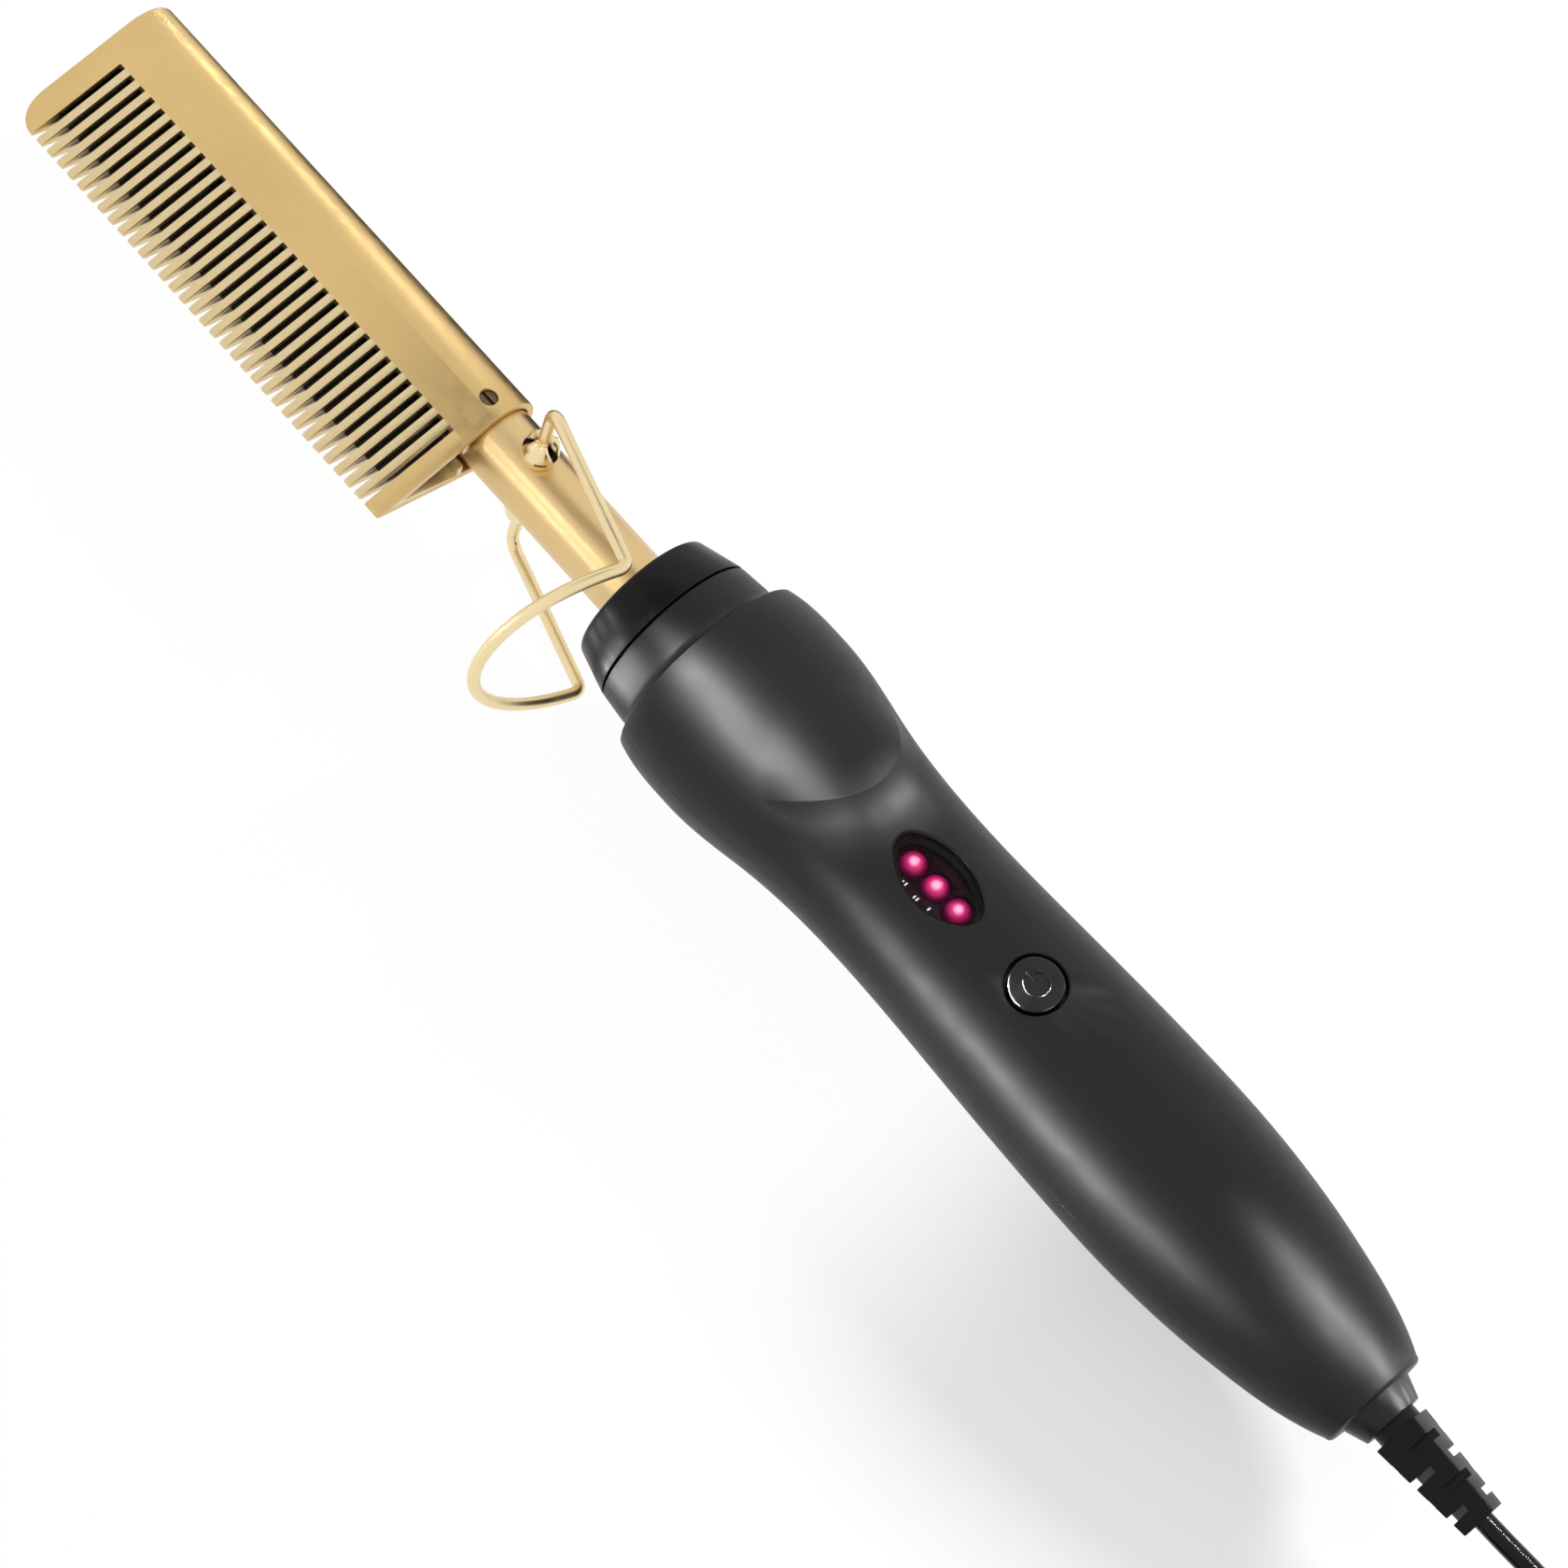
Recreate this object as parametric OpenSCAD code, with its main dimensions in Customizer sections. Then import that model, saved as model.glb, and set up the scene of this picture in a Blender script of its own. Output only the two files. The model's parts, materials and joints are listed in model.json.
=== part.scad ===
// Hot comb: a slotted metal head on a heated shank, a folding wire rest,
// a two-shell handle with a power button, and a mains lead on a swivel.
// Modelled along the shank's axis, with x = 0 at the front rim of the handle:
// the comb lies at -x, the lead at +x, the spine at +y and the teeth at -y.
// placed() then stands the whole comb on z = 0, with its middle at x = y = 0.

/* [Comb head] */
// Length of the slotted head
head_len = 87; // [80:0.5:95]
// Distance from the shank's axis to the tooth tips
tip_reach = 23.9; // [21:0.1:26]
// Radius of the rounded tooth tips
tip_r = 0.6; // [0.5:0.05:0.8]
// Wall of the folded head
head_wall = 1.2; // [1:0.05:1.4]
// Distance from the shank's axis to the bottom of the hollow
hollow_reach = 18.5; // [17:0.1:20]
// Distance from one slot to the next
slot_pitch = 2.45; // [2.2:0.01:2.9]
// Width of a slot
slot_w = 1.1; // [0.8:0.05:1.3]
// Last slot's distance from the open end
near_tooth = 3.5; // [2.5:0.1:4]
// Least distance from the first slot to the closed end
far_tooth = 4.7; // [4:0.1:6]
// Thickness of the closed end
head_end_wall = 2.4; // [1.5:0.1:3.5]
// Thickness of the ledges that close the heater channel
ledge_t = 1; // [0.8:0.05:1.3]
// Gap between the two ledges
ledge_gap = 4.4; // [3.6:0.1:5]
// Distance from the shank's axis to the edge of the guard strip's fin
guard_reach = 11.5; // [10:0.1:12.5]
// Width of the guard strip's flange
guard_w = 6; // [5.4:0.1:6.4]
// Thickness of the guard strip
guard_t = 0.6; // [0.5:0.05:0.8]
// Guard strip's distance from the open end
guard_inset = 4; // [3:0.1:8]
// Rounding of the far tip corner
far_corner_r = 4.5; // [3:0.1:5.5]
// Rounding of the far spine corner
spine_corner_r = 2; // [1:0.1:3]
// Radius of the lock screw
lock_screw_r = 1.4; // [1.2:0.05:1.6]
// Lock screw's distance from the open end
lock_screw_inset = 3.6; // [3:0.1:4.5]

/* [Shank] */
// Diameter of the shank tube
tube_d = 12; // [11:0.1:12.4]
// Wall of the shank tube
tube_wall = 0.8; // [0.6:0.05:0.9]
// Bare length between the head and the handle
tube_bare = 33.4; // [30:0.1:38]
// Length inside the head
tube_in_head = 13.6; // [10:0.1:16]
// Length inside the handle
tube_in_handle = 18; // [17:0.1:22]
// Free gap around the tube inside the head
tube_gap = 0.2; // [0.1:0.05:0.3]

/* [Heater] */
// Length of the ceramic heater
heater_len = 62; // [50:0.5:64]
// Width of the ceramic heater
heater_w = 8.6; // [7:0.1:9]
// Thickness of the ceramic heater
heater_t = 2.6; // [2:0.1:3]
// Thickness of the insulating film
film_t = 0.3; // [0.2:0.05:0.4]
// Gap between the heater's layers
layer_gap = 0.05; // [0.03:0.01:0.08]
// Radius of the temperature sensor
sensor_r = 0.9; // [0.7:0.05:1]
// Length of the temperature sensor
sensor_len = 7; // [5:0.1:9]
// Radius of a heater lead
lead_r = 0.7; // [0.5:0.05:0.8]

/* [Wire rest] */
// Radius of the wire
wire_r = 1; // [0.8:0.05:1.1]
// Half the distance between the two legs
leg_half = 19.7; // [17:0.1:22]
// Length of a leg
leg_len = 27.7; // [25:0.1:29]
// Hinge line's distance from the handle's rim
hinge_inset = 25.15; // [24:0.05:27]
// Angle of the legs below the shank
rest_angle = 17.5; // [10:0.5:25]
// Bend radius at the foot corners
foot_bend_r = 1.6; // [1.4:0.05:2.5]
// Bend radius at the hinge ends
hinge_bend_r = 2.4; // [2:0.05:3]
// Radius of a hinge stud
stud_r = 2.9; // [2.6:0.05:3.2]
// Distance from the shank's axis to a stud's mouth
stud_reach = 10.9; // [10:0.1:12]
// Radius of a stud's rivet shank
rivet_r = 1.5; // [1.3:0.05:1.7]
// Radial clearance of the hinge
hinge_gap = 0.05; // [0.03:0.01:0.08]

/* [Front cap] */
// Radius of the cap's rim
rim_r = 12.2; // [11.9:0.05:13]
// Radius where the cap meets the handle
joint_r = 14.1; // [13.8:0.05:14.4]
// Length of the cap
cap_len = 7.6; // [6.5:0.1:8]
// Rounding of the cap's rim
rim_round = 1; // [0.6:0.05:1.4]
// Width of the parting groove
groove_w = 0.3; // [0.2:0.05:0.4]
// Wall of the cap's front
cap_front_t = 2.2; // [1.5:0.1:2.6]
// Radius of the insulating bush
bush_r = 11; // [10:0.1:11.2]

/* [Handle] */
// Length of the handle with its cap
handle_len = 161.8; // [158:0.1:168]
// Wall of the shells
shell_wall = 1.8; // [1.5:0.05:2]
// Radius of the neck before the shoulder
neck_r = 14.6; // [14.4:0.05:15]
// Shoulder edge's distance from the rim
shoulder_x = 15.2; // [15:0.1:17]
// Radius of the shoulder edge
shoulder_r = 17; // [16.6:0.05:17.4]
// Hollow radius under the shoulder
shoulder_fillet = 2.2; // [1.6:0.1:2.3]
// Widest point's distance from the rim
crown_x = 26.5; // [25:0.1:29]
// Radius at the widest point
crown_r = 18.05; // [17.6:0.05:18.6]
// Radius on the slope behind it
hip_r = 16.4; // [16.1:0.05:16.7]
// Distance from the widest point to the slope's station
hip_run = 13.5; // [12:0.1:15]
// Waist's distance from the rim
waist_x = 63; // [60:0.1:66]
// Radius of the waist
waist_r = 14.63; // [14.4:0.05:15]
// Distance from the waist to the swell's station
swell_run = 25; // [22:0.5:28]
// Radius between waist and belly
swell_r = 15.45; // [15.3:0.05:15.7]
// Belly's distance from the rim
belly_x = 114.5; // [110:0.5:118]
// Radius of the belly
belly_r = 16.1; // [15.9:0.05:16.6]
// Distance from the butt to the taper's station
taper_run = 18.8; // [17:0.1:21]
// Radius on the taper
taper_r = 13.75; // [13.4:0.05:14]
// Radius at the butt's edge
butt_r = 8.9; // [8.7:0.05:9.4]
// Rounding of the butt's edge
butt_round = 0.9; // [0.5:0.05:1.2]
// Height of the hood's lip over the grip
hood_step = 1.2; // [0.8:0.1:1.5]
// Hood's half-length, from its sides to its tip
hood_run = 19.4; // [17:0.1:21]
// Hood's sides, distance from the rim
hood_side_x = 30.4; // [29:0.1:32]
// Distance from the rim to the front handle screw
front_screw_x = 46; // [44.5:0.1:46.5]
// Distance from the butt to the rear handle screw
rear_screw_inset = 23.8; // [22:0.1:26]
// Radius of a handle screw
screw_r = 1.3; // [1.1:0.05:1.5]
// Radius of a handle screw's head
screw_head_r = 2.6; // [2.3:0.05:2.8]
// Wall of a screw boss
boss_wall = 1.8; // [1.5:0.1:2]

/* [Controls] */
// Turn of the controls from the blade's flat, towards the teeth
controls_turn = 10; // [0:1:20]
// Window's distance from the rim
window_x = 65.1; // [63:0.1:67]
// Half the length of the window
window_half_len = 8.5; // [8:0.05:9]
// Half the width of the window
window_half_w = 4.9; // [4.4:0.05:5.2]
// End radius of the window's oval
window_end_r = 3; // [2.4:0.05:3.6]
// Thickness of the window lens
lens_t = 1; // [0.8:0.05:1.2]
// Height of the lens's face over the axis
lens_top = 12.9; // [12.7:0.05:13.2]
// Radius of a signal lamp
lamp_r = 1.9; // [1.5:0.05:2.1]
// Distance between the signal lamps
lamp_pitch = 4.85; // [4.4:0.05:5]
// Number of signal lamps
lamp_count = 3; // [2:1:3]
// Button's distance from the rim
button_x = 86.3; // [84:0.1:89]
// Radius of the button
button_r = 4.3; // [4:0.05:4.8]
// Gap around the button
button_gap = 0.3; // [0.25:0.05:0.4]
// Height of the button over the shell
button_proud = 0.1; // [0:0.05:0.4]
// Travel of the button
button_travel = 0.6; // [0.4:0.05:0.7]
// Width of the button's flange beyond its cap
flange_lip = 0.8; // [0.6:0.05:1]
// Thickness of the button's flange
flange_t = 1; // [0.8:0.05:1.1]
// Radius of the switch plunger
plunger_r = 1.7; // [1.4:0.05:2]
// Side of the switch body
switch_side = 6; // [5.5:0.1:6.5]
// Height of the switch body
switch_h = 2.2; // [2:0.05:2.3]
// Height of the board's top over the axis
board_top = 8; // [7.8:0.05:8.2]
// Thickness of the board
board_t = 1.6; // [1:0.1:1.8]
// Width of the board
board_w = 18; // [15:0.1:18.5]
// Length of the board
board_len = 62; // [54:0.5:66]
// Board's front edge, distance from the rim
board_x = 55; // [54:0.1:56]

/* [Swivel] */
// Radius of the journal in the butt
journal_r = 6.25; // [5.8:0.05:6.6]
// Running clearance of the journal
journal_gap = 0.08; // [0.05:0.01:0.09]
// Length of the cone outside the butt
cone_len = 3.8; // [3:0.1:5]
// Radius of the cone's small end
cone_end_r = 4.95; // [4.6:0.05:5.3]
// Thickness of the end wall
end_wall = 3.2; // [2.6:0.1:3.4]
// Thickness of the retaining flange
swivel_flange_t = 2.4; // [1.6:0.1:2.6]
// Radius of the retaining flange
swivel_flange_r = 7.4; // [7.1:0.05:7.6]
// Radius of the tail that carries the rings
tail_r = 3.6; // [3.2:0.05:3.8]
// Radius of a contact ring
ring_r = 4.6; // [4.3:0.05:4.8]
// Width of a contact ring
ring_w = 1.6; // [1.2:0.05:1.8]

/* [Lead] */
// Diameter of the lead
cord_d = 3.2; // [3:0.05:3.3]
// Length of the square strain relief
relief_len = 17.1; // [15:0.1:20]
// Half-diagonal of its thick end
relief_root = 5.4; // [5:0.05:5.8]
// Half-diagonal of its thin end
relief_tip = 4.1; // [3.8:0.05:4.4]
// Round neck's visible length
neck_len = 1.7; // [1.2:0.1:2.4]
// Round neck's radius
relief_neck_r = 3.68; // [3.2:0.02:3.8]
// Width of a relief slot
relief_slot_w = 1.3; // [1:0.05:1.5]
// Distance between the relief slots
relief_slot_pitch = 3.55; // [3.3:0.05:3.8]
// Number of relief slots
relief_slots = 4; // [3:1:4]
// Mean diameter of the coil
coil_d = 38; // [37:0.5:39]
// Layers of turns in the coil
coil_layers = 4; // [4:1:4]
// Turns in a layer
layer_turns = 3.625; // [3.6:0.025:3.65]
// Thickness of the coil's tie
tie_t = 0.5; // [0.4:0.05:0.55]
// Width of the coil's tie
tie_w = 6; // [4:0.5:8]

/* [Plug] */
// Width of the plug's face
plug_w = 35.3; // [34:0.1:36]
// Thickness of the plug
plug_t = 13.7; // [13:0.1:14.5]
// Length of the plug's body
plug_len = 36; // [34:0.5:38]
// Radius of a pin
pin_r = 2; // [1.9:0.05:2.1]
// Length of a pin
pin_len = 19; // [18:0.5:20]
// Distance between the pins
pin_spacing = 18.6; // [18:0.1:19]
// Length of a pin's insulating sleeve
pin_sleeve_len = 10; // [9:0.5:10]
// Radius of a pin's sleeve
pin_sleeve_r = 2; // [1.8:0.05:2]
// Radius of a pin's root inside the sleeve
pin_root_r = 1.5; // [1.2:0.05:1.6]

/* [Hidden] */
$fn = 48;
eps = 0.01;          // overlap of a cutter past the face it opens
fit = 0.05;          // gap between pieces that seat in each other
seat_gap = 0.1;      // gap between pieces that lie on each other loosely

tube_r = tube_d / 2;
tube_in_r = tube_r - tube_wall;
channel_r = tube_r + tube_gap;
spine_r = channel_r + head_wall;
head_near = -tube_bare;
head_far = head_near - head_len;
hinge_x = -hinge_inset;
cord_r = cord_d / 2;
boss_r = screw_r + boss_wall;

// Half-angle of the wedge: its flanks are tangent to the spine and to the tips
wedge = asin((spine_r - tip_r) / (tip_reach - tip_r));
hollow_wedge = asin(channel_r / hollow_reach);
ledge_top = channel_r;
slot_top = ledge_top + ledge_t;
slot_count = floor((head_len - near_tooth - far_tooth) / slot_pitch) + 1;

// Place of the whole comb: its box stands on z = 0, centred on x = y = 0
relief_end = handle_len + cone_len + neck_len + relief_len;
foot_depth = foot_bend_r + leg_half;
foot_reach = leg_len * sin(rest_angle) + foot_depth * cos(rest_angle) + wire_r;
mid_x = (head_far + relief_end) / 2;
mid_y = (crown_r - foot_reach) / 2;
axis_z = leg_half + wire_r;
module placed() translate([-mid_x, -mid_y, axis_z]) children();

// Turns that lay a profile or an outline along the comb
module along_x() rotate([90, 0, 90]) children();                 // outline in y,z
module spun() rotate([0, 90, 0]) rotate_extrude() children();    // profile in radius,x
module turned() rotate([controls_turn, 0, 0]) children();        // the controls' own up
module x_cylinder(r, x0, x1) translate([x0, 0, 0]) rotate([0, 90, 0]) cylinder(r = r, h = x1 - x0);
module x_box(x0, x1, y0, y1, z0, z1) translate([x0, y0, z0]) cube([x1 - x0, y1 - y0, z1 - z0]);

// Points of an arc, from angle a0 to a1 in n steps
function arc(cx, cy, r, a0, a1, n) =
    [for (i = [0:n]) let (a = a0 + (a1 - a0) * i / n) [cx + r * cos(a), cy + r * sin(a)]];

// Cubic through two stations [x, r, slope]
function cubic(a, b, x) = let (h = b[0] - a[0], t = (x - a[0]) / h)
    a[1] * (2 * t^3 - 3 * t^2 + 1) + a[2] * h * (t^3 - 2 * t^2 + t)
    + b[1] * (3 * t^2 - 2 * t^3) + b[2] * h * (t^3 - t^2);

// ---- Comb head ----------------------------------------------------------

// Section of the head: a round spine with two flanks tangent to it
module wedge_outline(spine, tip, reach) {
    circle(r = spine);
    translate([-reach + tip, 0]) circle(r = tip);
    polygon([[-spine * sin(wedge), spine * cos(wedge)],
        [-reach + tip - tip * sin(wedge), tip * cos(wedge)],
        [-reach + tip - tip * sin(wedge), -tip * cos(wedge)],
        [-spine * sin(wedge), -spine * cos(wedge)]]);
}
// Section of the hollow: its flanks are tangent to the channel and meet above the tips
module hollow_outline() {
    circle(r = channel_r);
    polygon([[-channel_r * sin(hollow_wedge), channel_r * cos(hollow_wedge)],
        [-hollow_reach, 0],
        [-channel_r * sin(hollow_wedge), -channel_r * cos(hollow_wedge)]]);
}
// Ledges across the hollow, which carry the heater and the tube
module ledge_outline() {
    intersection() {
        wedge_outline(spine_r - head_wall / 2, tip_r, tip_reach);
        translate([-slot_top, -spine_r]) square([ledge_t, 2 * spine_r]);
    }
}
module corner_cut(r) difference() {
    translate([-r - eps, -r - eps]) square(r + eps);
    circle(r = r);
}
module comb_head() {
    color("#dfbd82") placed() difference() {
        translate([head_far, 0, 0]) along_x() linear_extrude(head_len)
            wedge_outline(spine_r, tip_r, tip_reach);
        difference() {
            translate([head_far + head_end_wall, 0, 0]) along_x()
                linear_extrude(head_len - head_end_wall + eps) hollow_outline();
            translate([head_far, 0, 0]) along_x() linear_extrude(head_len) difference() {
                ledge_outline();
                translate([-slot_top - eps, -ledge_gap / 2]) square([ledge_t + 2 * eps, ledge_gap]);
            }
        }
        for (i = [0:slot_count - 1])
            translate([head_near - near_tooth - i * slot_pitch - slot_w / 2, -tip_reach - eps, -spine_r])
                cube([slot_w, tip_reach + eps - slot_top, 2 * spine_r]);
        translate([head_far + far_corner_r, -tip_reach + far_corner_r, -spine_r])
            linear_extrude(2 * spine_r) corner_cut(far_corner_r);
        translate([head_far + spine_corner_r, spine_r - spine_corner_r, -spine_r])
            linear_extrude(2 * spine_r) mirror([0, 1]) corner_cut(spine_corner_r);
        translate([head_near - lock_screw_inset, 0, 0]) cylinder(r = lock_screw_r, h = spine_r + eps);
    }
}
module lock_screw() {
    screw_low = tube_in_r - 0.4;
    screw_high = spine_r - 0.6;
    slot = [3 * lock_screw_r, 0.5, 0.6];
    color("#7a6c55") placed() translate([head_near - lock_screw_inset, 0, screw_low]) difference() {
        cylinder(r = lock_screw_r - fit, h = screw_high - screw_low);
        translate([-slot[0] / 2, -slot[1] / 2, screw_high - screw_low - slot[2]])
            cube(slot + [0, 0, eps]);
    }
}

// ---- Heater -------------------------------------------------------------

heater_near = head_near - tube_in_head - 1.5;
heater_far = heater_near - heater_len;
film_half_w = heater_w / 2 + layer_gap + film_t;
film_half_t = heater_t / 2 + layer_gap + film_t;
bar_r = channel_r - seat_gap;
sensor_z = film_half_t + layer_gap + sensor_r + 0.8;
module heater_core() {
    color("#e8e4da") placed()
        x_box(heater_far, heater_near, -heater_w / 2, heater_w / 2, -heater_t / 2, heater_t / 2);
}
module heater_film() {
    color("#b5651d") placed() difference() {
        x_box(heater_far + 1, heater_near - 1, -film_half_w, film_half_w, -film_half_t, film_half_t);
        x_box(heater_far, heater_near, -film_half_w + film_t, film_half_w - film_t,
            -film_half_t + film_t, film_half_t - film_t);
    }
}
module heat_bars() {
    bar_flat = film_half_t + layer_gap;
    color("#c9ccd0") placed() difference() {
        x_cylinder(bar_r, heater_far + 1, heater_near - 1);
        x_box(heater_far, heater_near, -channel_r, channel_r, -bar_flat, bar_flat);
        translate([0, 0, sensor_z]) x_cylinder(sensor_r + fit, heater_near - sensor_len, heater_near);
    }
}
module temperature_sensor() {
    color("#3c6e47") placed() {
        translate([0, 0, sensor_z]) x_cylinder(sensor_r, heater_near - sensor_len + 0.2, heater_near);
        swept(sensor_lead, sensor_wire_r, 6);
    }
}
module heater_leads() {
    color("#d8d2c0") placed() for (side = [-1, 1]) swept(heater_lead(side), lead_r, 6);
}
// Closes the gap between the ledges, so that no hair and no light reaches the heater
module guard_strip() {
    flange_low = slot_top + fit + guard_t;
    guard_far = head_far + head_end_wall + seat_gap;
    color("#33271f") placed() translate([guard_far, 0, 0]) along_x()
        linear_extrude(head_near - guard_inset - guard_far) {
            translate([-flange_low, -ledge_gap / 2 + fit])
                square([flange_low - ledge_top - seat_gap, ledge_gap - 2 * fit]);
            translate([-flange_low, -guard_w / 2]) square([guard_t, guard_w]);
            translate([-guard_reach, -guard_t / 2]) square([guard_reach - slot_top - fit, guard_t]);
        }
}

// Wires run from the heater through the tube and up to the board
lead_y = 2.4;
sensor_wire_r = 0.45;   // twin wire, drawn as one
board_low = board_top - board_t;
// Height of the turned board's underside at the distance y from the axis
function underside(y) = (board_low + y * sin(controls_turn)) / cos(controls_turn);
around_boss = boss_r + lead_r + 0.8;
function heater_lead(side) = [[heater_near, side * lead_y, 0], [heater_near + 4, side * lead_y, 0],
    [tube_in_handle, side * lead_y, 0], [tube_in_handle + 12, side * 3, 0.4],
    [front_screw_x - 6, side * around_boss, 1.2], [front_screw_x + 5, side * around_boss, 2.2],
    [board_x + 5, side * around_boss, underside(side * around_boss) - lead_r - 0.3]];
sensor_lead = [[heater_near - 0.4, 0, sensor_z], [heater_near + 4, 0, tube_in_r - 2.4],
    [tube_in_handle, 0, tube_in_r - 2.4], [tube_in_handle + 12, 1.6, 3.4],
    [front_screw_x - 6, around_boss, 4.2], [front_screw_x + 5, around_boss, 4.6],
    [board_x + 2, around_boss, underside(around_boss) - sensor_wire_r - 0.3]];

// A round tube of n sides through the points p, none of them straight up
function unit(v) = v / norm(v);
function heading(p, i) = unit(p[min(i + 1, len(p) - 1)] - p[max(i - 1, 0)]);
function ring(p, i, r, n) = let (t = heading(p, i), s = unit(cross(t, [0, 0, 1])), u = cross(s, t))
    [for (k = [0:n - 1]) let (a = 360 * (k + 0.5) / n) p[i] + r * (cos(a) * s + sin(a) * u)];
module swept(p, r, n) {
    last = (len(p) - 1) * n;
    polyhedron(points = [for (i = [0:len(p) - 1]) each ring(p, i, r, n)],
        faces = concat([[for (k = [n - 1:-1:0]) k]],
            [for (i = [0:len(p) - 2], k = [0:n - 1]) let (j = (k + 1) % n, a = i * n, b = a + n)
                each [[a + k, b + j, b + k], [a + k, a + j, b + j]]],
            [[for (k = [0:n - 1]) last + k]]));
}

// ---- Shank and wire rest ------------------------------------------------

module shank_tube() {
    clip_groove = 0.3;
    color("#d8b676") placed() difference() {
        x_cylinder(tube_r, head_near - tube_in_head, tube_in_handle);
        x_cylinder(tube_in_r, head_near - tube_in_head - eps, tube_in_handle + eps);
        for (side = [0, 1]) mirror([0, 0, side]) translate([hinge_x, 0, 0])
            cylinder(r = rivet_r + fit, h = tube_r + eps);
        translate([head_near - lock_screw_inset, 0, 0]) cylinder(r = lock_screw_r, h = tube_r + eps);
        difference() {
            x_cylinder(tube_r + eps, clip_x - fit, clip_x + clip_t + fit);
            x_cylinder(tube_r - clip_groove, clip_x - 1, clip_x + clip_t + 1);
        }
    }
}
// Riveted acorn with a bore for the wire's end, crimped open at its mouth
stud_floor = tube_r + 1.2;
module hinge_stud() {
    crimp = 0.5;
    head_t = 0.5;
    head_z = sqrt(tube_in_r^2 - (1.4 * rivet_r)^2) - head_t - 0.02;
    difference() {
        union() {
            translate([0, 0, stud_reach - stud_r]) sphere(r = stud_r);
            translate([0, 0, tube_r - 1]) cylinder(r = stud_r * 0.72, h = 3);
        }
        rotate([0, 90, 0]) translate([0, 0, -2 * stud_r]) cylinder(r = tube_r, h = 4 * stud_r);
        translate([0, 0, stud_floor]) cylinder(r = wire_r + hinge_gap, h = stud_reach);
        translate([0, 0, stud_reach - crimp]) cylinder(r = 2 * stud_r, h = stud_r);
        for (a = [20, 140, 260]) rotate(a) translate([0, -crimp / 2, stud_reach - 2.2])
            cube([2 * stud_r, crimp, 3]);
    }
    translate([0, 0, head_z]) cylinder(r = 1.4 * rivet_r, h = head_t);
    translate([0, 0, head_z]) cylinder(r = rivet_r, h = stud_floor - head_z - 0.3);
}
module hinge_studs() {
    color("#d9b878") placed() translate([hinge_x, 0, 0])
        for (side = [0, 1]) mirror([0, 0, side]) hinge_stud();
}
// Quarter bend of the wire: starts along +y at the origin and turns towards +x
module wire_bend(r) translate([r, 0, 0]) rotate([0, 0, 90])
    rotate_extrude(angle = 90) translate([r, 0]) circle(r = wire_r);
module wire_rest() {
    color("#e0c48a") placed() translate([hinge_x, 0, 0]) rotate([0, 0, -rest_angle]) {
        for (side = [0, 1]) mirror([0, 0, side]) {
            pin_floor = stud_floor + 0.3;
            translate([0, 0, pin_floor]) cylinder(r = wire_r, h = leg_half - hinge_bend_r - pin_floor);
            translate([0, 0, leg_half - hinge_bend_r]) rotate([90, 0, 0]) wire_bend(hinge_bend_r);
            translate([0, 0, leg_half]) x_cylinder(wire_r, hinge_bend_r, leg_len - foot_bend_r);
            translate([leg_len - foot_bend_r, 0, leg_half]) rotate([0, 0, -90]) wire_bend(foot_bend_r);
        }
        translate([leg_len, -foot_bend_r, 0]) rotate([0, 90, 0]) rotate([0, 0, 180])
            rotate_extrude(angle = 180) translate([leg_half, 0]) circle(r = wire_r);
    }
}

// ---- Front cap and bush -------------------------------------------------

spigot_end = cap_len + 4;
spigot_r = neck_r - 2.25;
bush_bore = tube_r + fit;
module front_cap() {
    cap_in_r = bush_r + seat_gap;
    color("#0e0f10") placed() spun() polygon(concat(
        [[tube_r + seat_gap, 0]], arc(rim_r - rim_round, rim_round, rim_round, -90, -8, 6),
        [[joint_r, cap_len], [spigot_r, cap_len], [spigot_r, spigot_end], [cap_in_r, spigot_end],
            [cap_in_r, cap_front_t], [tube_r + seat_gap, cap_front_t]]));
}
bush_flange_x = spigot_end + 0.6;
bush_flange_t = 2.1;
clip_t = 0.9;
clip_x = bush_flange_x + bush_flange_t + 0.1;
bush_flange_r = neck_r - 1.4;
module tube_bush() {
    color("#8a4b2a") placed() difference() {
        union() {
            x_cylinder(bush_r, cap_front_t + seat_gap, bush_flange_x);
            x_cylinder(bush_flange_r, bush_flange_x, bush_flange_x + bush_flange_t);
        }
        x_cylinder(bush_bore, 0, bush_flange_x + bush_flange_t + eps);
    }
}
module tube_clip() {
    clip_in_r = tube_r - 0.25;
    color("#9aa0a6") placed() difference() {
        x_cylinder(tube_r + 1.8, clip_x, clip_x + clip_t);
        x_cylinder(clip_in_r, clip_x - eps, clip_x + clip_t + eps);
        x_box(clip_x - eps, clip_x + clip_t + eps, -tube_r - 3, -2, -1.5, 1.5);
    }
}

// ---- Handle shells ------------------------------------------------------

hip_x = crown_x + hip_run;
swell_x = waist_x + swell_run;
taper_x = handle_len - taper_run;
butt_x = handle_len - butt_round;
stations = [[shoulder_x, shoulder_r, 0.3], [crown_x, crown_r, 0], [hip_x, hip_r, -0.185],
    [waist_x, waist_r, 0], [swell_x, swell_r, 0.042], [belly_x, belly_r, 0],
    [taper_x, taper_r, -0.175], [butt_x, butt_r, -0.46]];
function station_before(x) = max([0, for (i = [0:len(stations) - 2]) if (x > stations[i][0]) i]);
function handle_r(x) = let (i = station_before(x)) cubic(stations[i], stations[i + 1], x);
profile_steps = 34;
function sampled(x0, x1, n, inset) =
    [for (i = [0:n]) let (x = x0 + (x1 - x0) * (i / n)^1.2) [handle_r(x) - inset, x]];

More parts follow.
